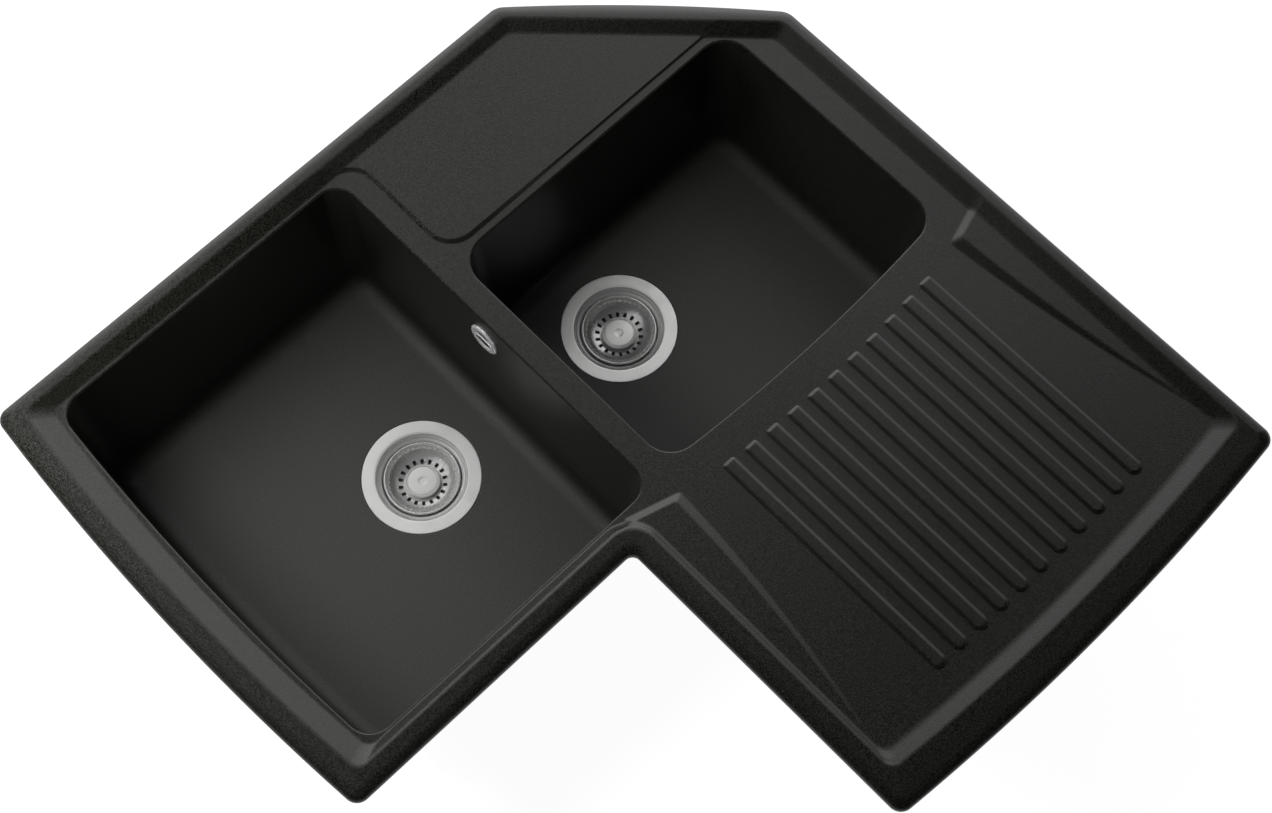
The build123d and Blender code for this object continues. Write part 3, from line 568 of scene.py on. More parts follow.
# Corner radii of the rim, at the tips, at the corner cut and in the inside corner. The first are at its
# outer edge and change with the inset; the second are at its flat's inner edge and change to its foot.
EDGE_ROUNDS = np.array([12.5, 19.0, 8.0])
EDGE_ROUNDS_CHANGE = np.array([-0.85, -0.3, 1.0])
FLAT_ROUNDS = np.array([12.0, 16.0, 24.0])
FLAT_ROUNDS_CHANGE = np.array([-2.0, -2.0, 8.0])
LEAST_ROUND = 3.0
INNER_CUT_BOW = 0.4
# Places of the loops across the crest and the foot of the inner slope, and on the slope between them.
ACROSS_BEND = (-1, -0.6, -0.2, 0.2, 0.6, 1)
ON_SLOPE = (0.35, 0.5, 0.65)


def rim_loops():
    """The rim from the slab's underside, round its edge and over its top to past the inner foot.
    Each row is (inset, height) the same on all sides; then come rows whose insets differ by side."""
    rows = []
    quarter = np.linspace(0, math.pi / 2, 6)
    for a in quarter[::2]:
        rows.append((SLAB_INSET + SLAB_ROUND * (1 - math.sin(a)), SLAB_LOW + SLAB_ROUND * (1 - math.cos(a))))
    rows += [(SLAB_INSET - SEAT_ROUND * (1 - math.cos(a)), SEAT_ROUND * (math.sin(a) - 1)) for a in quarter]
    rows += [(EDGE_ROUND * (1 - math.sin(a)), EDGE_ROUND * (1 - math.cos(a))) for a in quarter]
    crown_low = RIM_TOP - CROWN_RISE
    for a in np.linspace(0, math.pi / 2, 12):
        rows.append((CROWN_RUN * (1 - math.cos(a)), crown_low + CROWN_RISE * math.sin(a)))
    loops = []
    for inset, z in rows:
        rounds = np.maximum(EDGE_ROUNDS + EDGE_ROUNDS_CHANGE * inset, LEAST_ROUND)
        cut_bow = CUT_BOW * (1 - inset / RIM_FLAT[-1])
        plan, belongs = arm_loop(np.full(7, inset), rounds, cut_bow)
        lean = RIM_LEAN * max((z - crown_low) / CROWN_RISE, 0) ** 2 * (belongs @ RIM_FLAT - inset)
        loops.append(np.column_stack([plan, z - lean]))
    run = SLOPE_FOOT - RIM_FLAT
    crest = CREST_HALF / run
    foot = FOOT_HALF / run
    slope_rows = [RIM_FLAT + CREST_HALF * s for s in ACROSS_BEND]
    slope_rows += [RIM_FLAT + run * s for s in ON_SLOPE]
    slope_rows += [SLOPE_FOOT + FOOT_HALF * s for s in ACROSS_BEND]
    for insets in slope_rows:
        mix = float(np.clip(((insets - RIM_FLAT) / run).mean(), 0, 1))
        rounds = FLAT_ROUNDS + FLAT_ROUNDS_CHANGE * mix
        plan, belongs = arm_loop(insets, rounds, INNER_CUT_BOW)
        t = belongs @ ((insets - RIM_FLAT) / run)
        low = ledge_height(plan[:, 0], plan[:, 1])
        z = low + (RIM_TOP - low) * eased_drop(t, belongs @ crest, belongs @ foot)
        z -= RIM_LEAN * (belongs @ np.maximum(RIM_FLAT - insets, 0))
        loops.append(np.column_stack([plan, z]))
    return np.array(loops)


# Each bowl: left, right, back and front of its mouth and of its floor, bows, corner radius, waste.
BOWL_FLOOR = -172.0
WALL = 7.0
FLOOR_THICK = 9.0
BOWLS = {
    "main": (
        (32.0, 441.0, -420.0, -744.5),
        (44.0, 428.0, -425.5, -735.0),
        (0, 0, 8.5, 0),
        22.0,
        (242.0, -526.5),
    ),
    "second": (
        (166.5, 436.0, -55.0, -394.5),
        (176.0, 426.0, -62.0, -389.0),
        (0, 8.5, 0, 0),
        28.0,
        (261.5, -286.0),
    ),
}
BOWL_TURNS = (12, 12, 12, 12)
BOWL_SIDES = [spread((1.0, 28))] * 4


def bowl_loops(bowl, rows):
    """A bowl's plan at each row's height, between its mouth and its floor, grown out by the row's
    second value."""
    mouth, floor_edges, bows, corner, _ = bowl
    loops = []
    for z, grow in rows:
        share = (LEDGE - z) / (LEDGE - BOWL_FLOOR)
        left, right, back, front = np.array(mouth) * (1 - share) + np.array(floor_edges) * share
        corners = box_corners(left - grow, right + grow, back + grow, front - grow)
        plan, _ = plan_loop(corners, bows, [max(corner + grow, 4.0)] * 4, BOWL_SIDES, BOWL_TURNS)
        loops.append(np.column_stack([plan, np.full(len(plan), z)]))
    return np.array(loops)


def foot_rows(level, radius, grow):
    """Rows of height and growth that turn from a wall, grown by an amount, into a level floor."""
    turn = np.linspace(0, math.pi / 2, 12)
    return [(level + radius * (1 - math.sin(a)), grow - radius * (1 - math.cos(a))) for a in turn]


def circle(x, y, radius, z, steps=96):
    """A level ring of points, clockwise from above."""
    angle = -np.arange(steps) * 2 * math.pi / steps
    return np.column_stack([x + radius * np.cos(angle), y + radius * np.sin(angle), np.full(steps, z)])


def rib_loop(start, end, y, half, inside, z_above):
    """A rib's plan, drawn in by an amount: nearly square at its start and round at its end."""
    half = half - inside
    corners = box_corners(start + inside, end - inside, y + half, y - half)
    square = max(RIB_CORNER - inside, 0.5)
    round_end = half * RIB_END_ROUND
    rounds = (square, round_end, round_end, square)
    along = [spread((1.0, 26)), np.array([0.5]), spread((1.0, 26)), spread((1.0, 4))]
    plan, _ = plan_loop(corners, (0, 0, 0, 0), rounds, along, (5, 9, 9, 5))
    return np.column_stack([plan, drainer_height(plan[:, 0]) + z_above])


skin = Skin()
rim = rim_loops()
skin.band(rim)

# The ribs: flat-topped, their ends on gentle arcs. The profile's rows are distance in and height.
RIB_COUNT = 11
RIB_WIDTH = 13.4
RIB_PITCH = 24.8
RIB_FIRST_Y = -109.5
RIB_START = 478.0
RIB_START_BOW = 6.0
RIB_END = 730.0
RIB_END_BOW = 3.0
RIB_END_ROUND = 0.98
RIB_CORNER = 2.6
RIB_PROFILE = ((-1.0, 0.0), (-0.5, 0.12), (0.0, 0.4), (0.7, 0.83))
RIB_PROFILE += ((1.35, 1.23), (1.9, 1.5), (2.4, 1.65), (2.9, 1.7))
rib_feet = []
for i in range(RIB_COUNT):
    off = (i - (RIB_COUNT - 1) / 2) / ((RIB_COUNT - 1) / 2)
    start = RIB_START - RIB_START_BOW * off * off
    end = RIB_END - RIB_END_BOW * off * off
    y = RIB_FIRST_Y - i * RIB_PITCH
    rings = [rib_loop(start, end, y, RIB_WIDTH / 2, inside, z) for inside, z in RIB_PROFILE]
    skin.band(rings)
    skin.cover(rings[-1])
    rib_feet.append(rings[0])

# The bowls' insides, from the lip down the wall and round to the floor. The recess takes the flange, and
# the drain hole under it ends in a boss. Its profile's rows are radius and height.
LIP = 2.0
FLOOR_ROUND = 20.0
UNDER_ROUND = 26.0
UNDER = BOWL_FLOOR - FLOOR_THICK
RECESS = 57.4
RECESS_FLOOR = BOWL_FLOOR - 2.4
DRAIN = 45.0
BOSS = 61.0
BOSS_LOW = BOWL_FLOOR - 13.0
WALL_LEVELS = (-14.0, -25.0, -36.0, -47.0, -58.0, -80.0, -105.0, -130.0)
DRAIN_PROFILE = (
    (RECESS + 1.4, BOWL_FLOOR),
    (RECESS + 0.35, BOWL_FLOOR),
    (RECESS + 0.1, BOWL_FLOOR - 0.12),
    (RECESS, BOWL_FLOOR - 0.5),
    (RECESS, RECESS_FLOOR),
    (DRAIN + 0.5, RECESS_FLOOR),
    (DRAIN, RECESS_FLOOR - 0.5),
    (DRAIN, BOSS_LOW + 0.5),
    (DRAIN + 0.5, BOSS_LOW),
    (BOSS - 1.0, BOSS_LOW),
    (BOSS - 0.3, BOSS_LOW + 0.3),
    (BOSS, BOSS_LOW + 1.0),
    (BOSS, UNDER - 2),
    (BOSS + 0.6, UNDER - 0.6),
    (BOSS + 2, UNDER),
    (BOSS + 4, UNDER),
)
lips = []
outer_tops = []
for bowl in BOWLS.values():
    steps = np.linspace(0, math.pi / 2, 8)
    rows = [(LEDGE - LIP * (1 - math.cos(a)), LIP * (1 - math.sin(a))) for a in steps]
    rows += [(z, 0) for z in WALL_LEVELS]
    rows += foot_rows(BOWL_FLOOR, FLOOR_ROUND, 0)
    rings = bowl_loops(bowl, rows)
    skin.band(rings)
    lips.append(rings[0])
    x, y = bowl[-1]
    recess = [circle(x, y, r, z) for r, z in DRAIN_PROFILE]
    skin.band(recess)
    level_cover(skin, rings[-1], [recess[0]])
    # The same bowl from outside, from the slab's underside down.
    skin.back = 1.0
    rows = [(z, WALL) for z in (SLAB_LOW, SLAB_LOW - 1, *WALL_LEVELS[1:])]
    outer = bowl_loops(bowl, rows + foot_rows(UNDER, UNDER_ROUND, WALL))
    skin.band(outer)
    outer_tops.append(outer[0])
    level_cover(skin, outer[-1], [recess[-1]])
    skin.back = 0.0


# Free points on the ledge: rows along the tap deck's step, and a fine grid where the pads bend. Each pad's
# place is the left, right, front and back of the ground round it.
DECK_BACK = -62.0
DECK_SPACING = 2.5
DECK_ROWS = (-0.9, -0.62, -0.5, -0.38, -0.2, 0, 0.2, 0.38, 0.5, 0.62, 0.9)
PAD_PLACES = ((446, 745, -80, -24), (443, 720, -462, -395))
PAD_SPACING = 0.9
PAD_BEND = 0.02
LEAST_GAP = 0.5


def deck_rows():
    """Points on lines beside the deck's edge, close together across the step. The lines follow the
    edge down its right side, round its corner, along its front and round the sweep."""
    y = np.arange(DECK_BACK, DECK_FRONT + DECK_CORNER, -DECK_SPACING)
    right = np.column_stack([np.full_like(y, DECK_RIGHT), y])
    angle = np.linspace(0, math.pi / 2, 22)
    across, down = DECK_CORNER * np.cos(angle[1:-1]), DECK_CORNER * np.sin(angle[1:-1])
    corner = np.column_stack([DECK_RIGHT - DECK_CORNER + across, DECK_FRONT + DECK_CORNER - down])
    x = np.arange(DECK_RIGHT - DECK_CORNER, DECK_SWEEP_X, -DECK_SPACING)
    front = np.column_stack([x, np.full_like(x, DECK_FRONT)])
    across, up = DECK_SWEEP * np.sin(angle), DECK_SWEEP * np.cos(angle)
    sweep = np.column_stack([DECK_SWEEP_X - across, DECK_FRONT - DECK_SWEEP + up])
    line = np.concatenate([right, corner, front, sweep])
    heading = np.gradient(line, axis=0)
    heading /= np.hypot(heading[:, 0], heading[:, 1])[:, None]
    out = np.column_stack([-heading[:, 1], heading[:, 0]])
    offsets = np.array(DECK_ROWS)[:, None] * step_width(line[:, 1])[None]
    return (line[None] + out[None] * offsets[..., None]).reshape(-1, 2)


def bending_grid(left, right, front, back):
    """Grid points at which the ledge's surface turns by more than a little from one to the next."""
    x, y = np.meshgrid(np.arange(left, right, PAD_SPACING), np.arange(front, back, PAD_SPACING))
    z = ledge_height(x, y)
    bend = 0.0
    for first, second in ((0, 0), (1, 1), (0, 1)):
        slope = np.gradient(z, PAD_SPACING, axis=first)
        bend = bend + np.abs(np.gradient(slope, PAD_SPACING, axis=second))
    keep = bend > PAD_BEND
    return np.column_stack([x[keep], y[keep]])


free = np.concatenate([deck_rows()] + [bending_grid(*place) for place in PAD_PLACES])
foot = rim[-1]
clear = between(free, foot, lips + rib_feet)
for ring in [foot] + lips:
    clear &= distance_to(free, ring) > LEAST_GAP
skin.cover(foot, lips + rib_feet, free[clear], ledge_height)

# The slab's underside, with bosses for the clips and two blind knock-outs for taps. The profiles' rows
# are radius and height.
CLIP_INSET = 19.0
CLIP_BOSS = 6.3
CLIP_BORE = 3.5
CLIP_PROFILE = ((CLIP_BOSS, SLAB_LOW), (CLIP_BOSS, -9.0), (CLIP_BOSS, -21.4), (6.0, -21.9), (5.5, -22.0))
CLIP_PROFILE += ((3.9, -22.0), (CLIP_BORE, -21.6), (CLIP_BORE, -11.0))
KNOCKOUTS = ((88.0, -250.0), (88.0, -335.0))
KNOCKOUT_PROFILE = ((18.1, SLAB_LOW), (17.6, -7.8), (17.5, -7.3), (17.5, 0.1))


def bow_at(along):
    """How far an arm's bowed end stands out at a distance from its corner."""
    radius = (ARM_DEPTH**2 / 4 + END_BOW**2) / (2 * END_BOW)
    return math.sqrt(radius**2 - (along - ARM_DEPTH / 2) ** 2) - radius + END_BOW


# Two clips on each wall edge, two on each bowed end and one on each inner edge.
tip_x = ARM_LENGTH - END_BOW
clip_places = [(330.0, -CLIP_INSET), (640.0, -CLIP_INSET)]
clip_places += [(tip_x + bow_at(a) - CLIP_INSET, -a) for a in (120.0, 355.0)]
clip_places += [(640.0, CLIP_INSET - ARM_DEPTH), (ARM_DEPTH - CLIP_INSET, -620.0)]
clip_places += [(a, CLIP_INSET - tip_x - bow_at(a)) for a in (355.0, 120.0)]
clip_places += [(CLIP_INSET, -620.0), (CLIP_INSET, -300.0)]
under_holes = []
skin.back = 1.0
for places, profile, steps in ((clip_places, CLIP_PROFILE, 32), (KNOCKOUTS, KNOCKOUT_PROFILE, 64)):
    for x, y in places:
        rings = [circle(x, y, r, z, steps) for r, z in profile]
        skin.band(rings)
        skin.cover(rings[-1])
        under_holes.append(rings[0])
level_cover(skin, rim[0], outer_tops + under_holes)

sink = skin.build("granite_casting", "moulded_back", np.concatenate(skin.backs))

# The overflow hole goes through the divider wall, square to it.
OVERFLOW_X = 228.0
OVERFLOW_Z = -36.0
OVERFLOW_HOLE = 12.6
DRILL_ENDS = (-3.0, WALL + 4.0)
WALL_LEAN = (BOWLS["main"][0][2] - BOWLS["main"][1][2]) / (LEDGE - BOWL_FLOOR)
WALL_Y = BOWLS["main"][0][2] - WALL_LEAN * (LEDGE - OVERFLOW_Z)
wall_out = np.array((0, 1, -WALL_LEAN)) / math.hypot(1, WALL_LEAN)
wall_down = np.cross(wall_out, (1, 0, 0))


def on_wall(points):
    """Points about an axis, moved onto the divider wall: their z runs through it, towards the gap
    between the bowls, from the wall's face in the main bowl, and their y runs down it."""
    turned = np.asarray(points) @ np.array([(1, 0, 0), wall_down, wall_out])
    return turned + (OVERFLOW_X, WALL_Y, OVERFLOW_Z)


drill = Skin()
drill_rings = [on_wall(circle(0, 0, OVERFLOW_HOLE, z)) for z in DRILL_ENDS]
drill.band(drill_rings)
for ring in drill_rings:
    drill.lid(ring)
cutter = drill.build("overflow_drill", "moulded_back", np.ones(drill.count))
sink.modifiers.clear()
cut = sink.modifiers.new("overflow_hole", "BOOLEAN")
cut.object = cutter
holed = bpy.data.meshes.new_from_object(sink.evaluated_get(bpy.context.evaluated_depsgraph_get()))
sink.modifiers.clear()
sink.data = holed
even = sink.modifiers.new("even_normals", "WEIGHTED_NORMAL")
even.keep_sharp = True
even.weight = 90
bpy.data.objects.remove(cutter)


def shader_group(name, inputs, outputs):
    """An empty node group: inputs are names with their values, outputs are names."""
    group = bpy.data.node_groups.new(name, "ShaderNodeTree")
    for label, value in inputs:
        socket = group.interface.new_socket(name=label, in_out="INPUT", socket_type="NodeSocketFloat")
        socket.default_value = value
    for label in outputs:
        group.interface.new_socket(name=label, in_out="OUTPUT", socket_type="NodeSocketFloat")
    return group, group.nodes.new("NodeGroupInput"), group.nodes.new("NodeGroupOutput")


def new_material(name):
    """A material of one Principled shader, its node tree and that shader."""
    material = bpy.data.materials.new(name)
    material.use_nodes = True
    return material, material.node_tree, material.node_tree.nodes["Principled BSDF"]


def place_bump(tree, shader, height, distance):
    """Bumps a shader's surface by a height output, as deep as a distance in metres."""
    bump = tree.nodes.new("ShaderNodeBump")
    bump.inputs["Distance"].default_value = distance
    tree.links.new(height, bump.inputs["Height"])
    tree.links.new(bump.outputs["Normal"], shader.inputs["Normal"])


def place_mix(tree, share, first, second):
    """A colour mix; the share is an output, and each colour is an output or a colour's numbers."""
    node = tree.nodes.new("ShaderNodeMix")
    node.data_type = "RGBA"
    tree.links.new(share, node.inputs["Factor"])
    for socket, colour in zip((node.inputs[6], node.inputs[7]), (first, second)):
        if isinstance(colour, tuple):
            socket.default_value = (*colour, 1)
        else:
            tree.links.new(colour, socket)
    return node.outputs[2]


# Mineral grain: soft grains that vary in tone and stand out a little, and sparse pale flakes, which
# are whole cells of a cell pattern picked by their random colour.
mineral, mineral_in, mineral_out = shader_group(
    "mineral_grain", [("Grain Scale", 900.0), ("Flake Scale", 500.0)], ["Tone", "Flakes", "Height"]
)
spot = mineral.nodes.new("ShaderNodeTexCoord")
grains = mineral.nodes.new("ShaderNodeTexNoise")
grains.inputs["Detail"].default_value = 2.0
grains.inputs["Roughness"].default_value = 0.7
cells = mineral.nodes.new("ShaderNodeTexVoronoi")
cell_parts = mineral.nodes.new("ShaderNodeSeparateColor")
mineral.links.new(spot.outputs["Object"], grains.inputs["Vector"])
mineral.links.new(spot.outputs["Object"], cells.inputs["Vector"])
mineral.links.new(mineral_in.outputs["Grain Scale"], grains.inputs["Scale"])
mineral.links.new(mineral_in.outputs["Flake Scale"], cells.inputs["Scale"])
mineral.links.new(cells.outputs["Color"], cell_parts.inputs["Color"])
tone = place_range(mineral, grains.outputs["Fac"], 0.35, 0.68)
picked = place_range(mineral, cell_parts.outputs["Red"], 0.8, 0.86)
near = place_range(mineral, cells.outputs["Distance"], 0.5, 0.2)
flakes = place_math(mineral, "MULTIPLY", picked, near)
mineral.links.new(tone, mineral_out.inputs["Tone"])
mineral.links.new(flakes, mineral_out.inputs["Flakes"])
mineral.links.new(grains.outputs["Fac"], mineral_out.inputs["Height"])

# The granite's tones and roughness on its show side, on the bowls' floors and walls, and on its back. The
# walls are closer than the floors, and the back is rougher than the rest. The floors' lighter tones are
# painted light, and the walls' darker tones are painted shade.
FLAKE = (0.02, 0.0204, 0.0178)
SHOW_TONES = ((0.0008, 0.0009, 0.0005), (0.0112, 0.0115, 0.0092))
FLOOR_PAINTED_LIGHT_TONES = ((0.016, 0.0164, 0.0149), (0.033, 0.0338, 0.0308))
WALL_PAINTED_SHADE_TONES = ((0.003, 0.0031, 0.0026), (0.009, 0.0093, 0.008))
BACK_TONES = ((0.014, 0.0142, 0.0129), (0.026, 0.0264, 0.0241))
ROUGH_SHOW = 0.3
ROUGH_WALL = 0.3
ROUGH_FLOOR = 0.48
ROUGH_BACK = 0.62
# The heights, in metres, between which the lip turns into the wall, and the floor into the wall.
LIP_BAND = (-0.004, -0.012)
FLOOR_BAND = (-0.171, -0.156)
GRAIN_DEPTH = 0.00014
granite, tree, shader = new_material("granite_composite")
grain = tree.nodes.new("ShaderNodeGroup")
grain.node_tree = mineral
grain.inputs["Grain Scale"].default_value = 750.0
grain.inputs["Flake Scale"].default_value = 1500.0
place = tree.nodes.new("ShaderNodeTexCoord")
parts = tree.nodes.new("ShaderNodeSeparateXYZ")
tree.links.new(place.outputs["Object"], parts.inputs[0])
back = tree.nodes.new("ShaderNodeAttribute")
back.attribute_name = "moulded_back"
below_lip = place_range(tree, parts.outputs["Z"], *LIP_BAND)
above_floor = place_range(tree, parts.outputs["Z"], *FLOOR_BAND)
wall = place_math(tree, "MULTIPLY", below_lip, above_floor)
floor_share = place_math(tree, "SUBTRACT", below_lip, wall)
rough = place_math(tree, "MULTIPLY_ADD", grain.outputs["Tone"], 0.05, ROUGH_SHOW)
for share, level in ((wall, ROUGH_WALL), (floor_share, ROUGH_FLOOR), (back.outputs["Fac"], ROUGH_BACK)):
    rough = place_math(tree, "MULTIPLY_ADD", share, level - ROUGH_SHOW, rough)
tree.links.new(rough, shader.inputs["Roughness"])
colour = place_mix(tree, grain.outputs["Tone"], *SHOW_TONES)
# Painted light and shade: the floors get lighter tones as painted light, and the walls darker ones as
# painted shade.
for share, tones in ((floor_share, FLOOR_PAINTED_LIGHT_TONES), (wall, WALL_PAINTED_SHADE_TONES), (back.outputs["Fac"], BACK_TONES)):
    colour = place_mix(tree, share, colour, place_mix(tree, grain.outputs["Tone"], *tones))
colour = place_mix(tree, grain.outputs["Flakes"], colour, FLAKE)
tree.links.new(colour, shader.inputs["Base Color"])
calm_wall = place_math(tree, "MULTIPLY_ADD", wall, -0.6, 1.0)
grain_height = place_math(tree, "MULTIPLY", grain.outputs["Height"], calm_wall)
place_bump(tree, shader, grain_height, GRAIN_DEPTH)
sink.data.materials.append(granite)
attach(sink, "sink")
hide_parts("sink_body")

# ---- strainer flanges ----
# The real piece is a pressed stainless dish: a wide flat ring, polished in circles, a stepped cone that
# the basket hangs in, and a floor with drain holes. One screw through its middle holds it in the bowl.
FLANGE_EDGE = 57.0
FLANGE_TOP = 0.4
STEEL_SHEET = 1.2
DISH_FLOOR = -25.0
DISH_SCREW = 5.0
DISH_WALL = 38.4
DISH_ROUND = 2.7
ROLLED_EDGE = 0.9
DRAIN_HOLES = 6
DRAIN_HOLE_RING = 15.5
DRAIN_HOLE = 5.2
TURNED_STEPS = 160


def arc_points(middle, radius, first, last, number):
    """Profile points (distance from the axis, height) along a circle, between two angles in degrees."""
    angle = np.radians(np.linspace(first, last, number))
    return np.column_stack([middle[0] + radius * np.cos(angle), middle[1] + radius * np.sin(angle)])


def turned_rings(centre, profile, steps=TURNED_STEPS):
    """A profile carried round a vertical axis: one level ring of points for each of its points."""
    x, y, z = centre
    points = np.concatenate([np.atleast_2d(part) for part in profile])
    return np.array([circle(x, y, r, z + h, steps) for r, h in points])


def turning_marks(skin, centre):
    """Distance from the axis less the height, in metres, which grows steadily along any profile."""
    x, y, z = (np.concatenate(skin.vertices) - centre).T
    return (np.hypot(x, y) - z) / 1000


def hole_walls(skin, top, low):
    """Joins each hole's ring in the upper face to the same ring in the lower face."""
    for upper, lower in zip(top, low):
        skin.band([upper, lower])


waste_centres = {key: np.array([*bowl[4], BOWL_FLOOR]) for key, bowl in BOWLS.items()}
ring_low = FLANGE_TOP - STEEL_SHEET
dish_turn = DISH_FLOOR + DISH_ROUND
turn_middle = (DISH_WALL - DISH_ROUND, dish_turn)
# The show side: the ring's rolled edge and flat, two steps down the cone, a bead, and the dish's wall.
show = [
    arc_points((FLANGE_EDGE - ROLLED_EDGE, FLANGE_TOP - ROLLED_EDGE), ROLLED_EDGE, -20, 70, 8),
    [(FLANGE_EDGE - 1.6, FLANGE_TOP - 0.02), (52.0, FLANGE_TOP), (46.5, FLANGE_TOP)],
    arc_points((45.3, ring_low), STEEL_SHEET, 90, 38, 6),
    [(44.15, -0.25), (43.1, -1.75), (42.75, -2.05), (42.2, -2.2)],
    [(41.85, -2.5), (40.75, -4.0), (40.3, -4.25), (39.3, -4.5), (38.5, -5.1)],
    [(37.75, -6.2), (37.5, -6.9), (37.6, -7.7), (38.2, -8.6), (DISH_WALL, -9.6)],
    [(DISH_WALL, dish_turn + 5), (DISH_WALL, dish_turn)],
    arc_points(turn_middle, DISH_ROUND, -10, -90, 8),
]
hidden = [
    [(FLANGE_EDGE, ring_low + 0.1), (FLANGE_EDGE - 0.2, ring_low), (45.2, ring_low), (44.2, -1.6)],
    [(DISH_WALL + STEEL_SHEET, -7.4), (DISH_WALL + STEEL_SHEET, dish_turn)],
    arc_points(turn_middle, DISH_ROUND + STEEL_SHEET, -10, -90, 8),
]
flanges = {}
for key, centre in waste_centres.items():
    skin = Skin()
    top_rings = turned_rings(centre, show)
    low_rings = turned_rings(centre, hidden)
    skin.band(top_rings)
    skin.band(low_rings)
    skin.band([top_rings[0], low_rings[0]])
    x, y, z = centre
    holes = {}
    for height in (DISH_FLOOR, DISH_FLOOR - STEEL_SHEET):
        holes[height] = [circle(x, y, DISH_SCREW, z + height, 48)]
        for turn in np.arange(DRAIN_HOLES) * 2 * math.pi / DRAIN_HOLES:
            spot = (x + DRAIN_HOLE_RING * math.cos(turn), y + DRAIN_HOLE_RING * math.sin(turn))
            holes[height].append(circle(*spot, DRAIN_HOLE, z + height, 40))
    skin.cover(top_rings[-1], holes[DISH_FLOOR])
    skin.cover(low_rings[-1], holes[DISH_FLOOR - STEEL_SHEET])
    hole_walls(skin, holes[DISH_FLOOR], holes[DISH_FLOOR - STEEL_SHEET])
    flanges[key] = skin.build(f"{key}_flange_dish", "turning", turning_marks(skin, centre))

# Turned metal: fine rings from a one-dimensional noise over the turning mark, and soft smudges.
turning, turning_in, turning_out = shader_group(
    "turned_rings", [("Rings", 5200.0), ("Smudge Scale", 45.0)], ["Rings", "Smudge", "Height"]
)
mark = turning.nodes.new("ShaderNodeAttribute")
mark.attribute_name = "turning"
lines = turning.nodes.new("ShaderNodeTexNoise")
lines.noise_dimensions = "1D"
lines.inputs["Detail"].default_value = 3.0
lines.inputs["Roughness"].default_value = 0.75
smudge_spot = turning.nodes.new("ShaderNodeTexCoord")
smudges = turning.nodes.new("ShaderNodeTexNoise")
smudges.inputs["Detail"].default_value = 3.0
turning.links.new(mark.outputs["Fac"], lines.inputs["W"])
turning.links.new(turning_in.outputs["Rings"], lines.inputs["Scale"])
turning.links.new(smudge_spot.outputs["Object"], smudges.inputs["Vector"])
turning.links.new(turning_in.outputs["Smudge Scale"], smudges.inputs["Scale"])
clear_lines = place_range(turning, lines.outputs["Fac"], 0.3, 0.7)
turning.links.new(clear_lines, turning_out.inputs["Rings"])
clear_smudges = place_range(turning, smudges.outputs["Fac"], 0.4, 0.75)
turning.links.new(clear_smudges, turning_out.inputs["Smudge"])
turning.links.new(lines.outputs["Fac"], turning_out.inputs["Height"])


def turned_metal(name, pale, dark, rough, ring_depth, metallic):
    """A metal with fine turning rings: two tones of its colour, a roughness and the rings' depth. Less
    than fully metallic, it scatters part of the light evenly, as a satin finish does."""
    material, tree, shader = new_material(name)
    shader.inputs["Metallic"].default_value = metallic
    rings = tree.nodes.new("ShaderNodeGroup")
    rings.node_tree = turning
    tree.links.new(place_mix(tree, rings.outputs["Rings"], dark, pale), shader.inputs["Base Color"])
    uneven = place_math(tree, "MULTIPLY_ADD", rings.outputs["Smudge"], 0.08, rough)
    tree.links.new(uneven, shader.inputs["Roughness"])
    place_bump(tree, shader, rings.outputs["Height"], ring_depth)
    return material


brushed = turned_metal("brushed_steel", (0.9, 0.9, 0.89), (0.78, 0.78, 0.77), 0.35, 0.000008, 0.84)
for key, dish in flanges.items():
    dish.data.materials.append(brushed)
    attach(dish, "sink")
    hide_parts(f"{key}_strainer_flange")

# ---- baskets ----
# The real piece is a thin stainless cup with a rolled rim, an embossed wall and a ring of eighteen
# punched slots round its middle. It lifts out of the flange by its cap.
BASKET_LOW = -17.5
BASKET_SHEET = 0.8
SHOULDER = 24.0
SHOULDER_RISE = 1.9
FLAT_MIDDLE = 17.0
SLOT_COUNT = 18
SLOT_RING = 21.2
SLOT_HALF_WIDTH = 1.6
SLOT_HALF_LENGTH = 2.2
SLOT_CORNER = 1.0
FREE_RINGS = (16.5, 17.3, 18.2)
FREE_STEPS = 108
EMBOSSING = 0.16
EMBOSSED_ROUND = 40
EMBOSSED_UP = 7
CUP_STEPS = 216
STEM = 2.7


def basket_floor(x, y):
    """Height of the cup's floor from outside: level in the middle, sloping up past the slots."""
    rise = (np.hypot(x, y) - FLAT_MIDDLE) / (SHOULDER - FLAT_MIDDLE)
    return BASKET_LOW + SHOULDER_RISE * soft_max(rise, np.zeros_like(rise), 0.2)


def slot_ring(turn):
    """A slot's plan: a rectangle with round corners, longer outwards, turned about the cup's axis."""
    half_x = SLOT_HALF_LENGTH
    half_y = SLOT_HALF_WIDTH
    corners = box_corners(-half_x, half_x, half_y, -half_y)
    plan, _ = plan_loop(corners, (0,) * 4, (SLOT_CORNER,) * 4, [np.array([0.5])] * 4, (4,) * 4)
    plan = plan + (SLOT_RING, 0)
    c, s = math.cos(turn), math.sin(turn)
    return np.column_stack([plan[:, 0] * c - plan[:, 1] * s, plan[:, 0] * s + plan[:, 1] * c])


def belly(foot, pull, brim):
    """A cup wall's profile: a parabola from its foot to its brim, drawn towards a third point."""
    t = np.linspace(0, 1, 26)[:, None]
    return (1 - t) ** 2 * foot + 2 * t * (1 - t) * pull + t**2 * brim


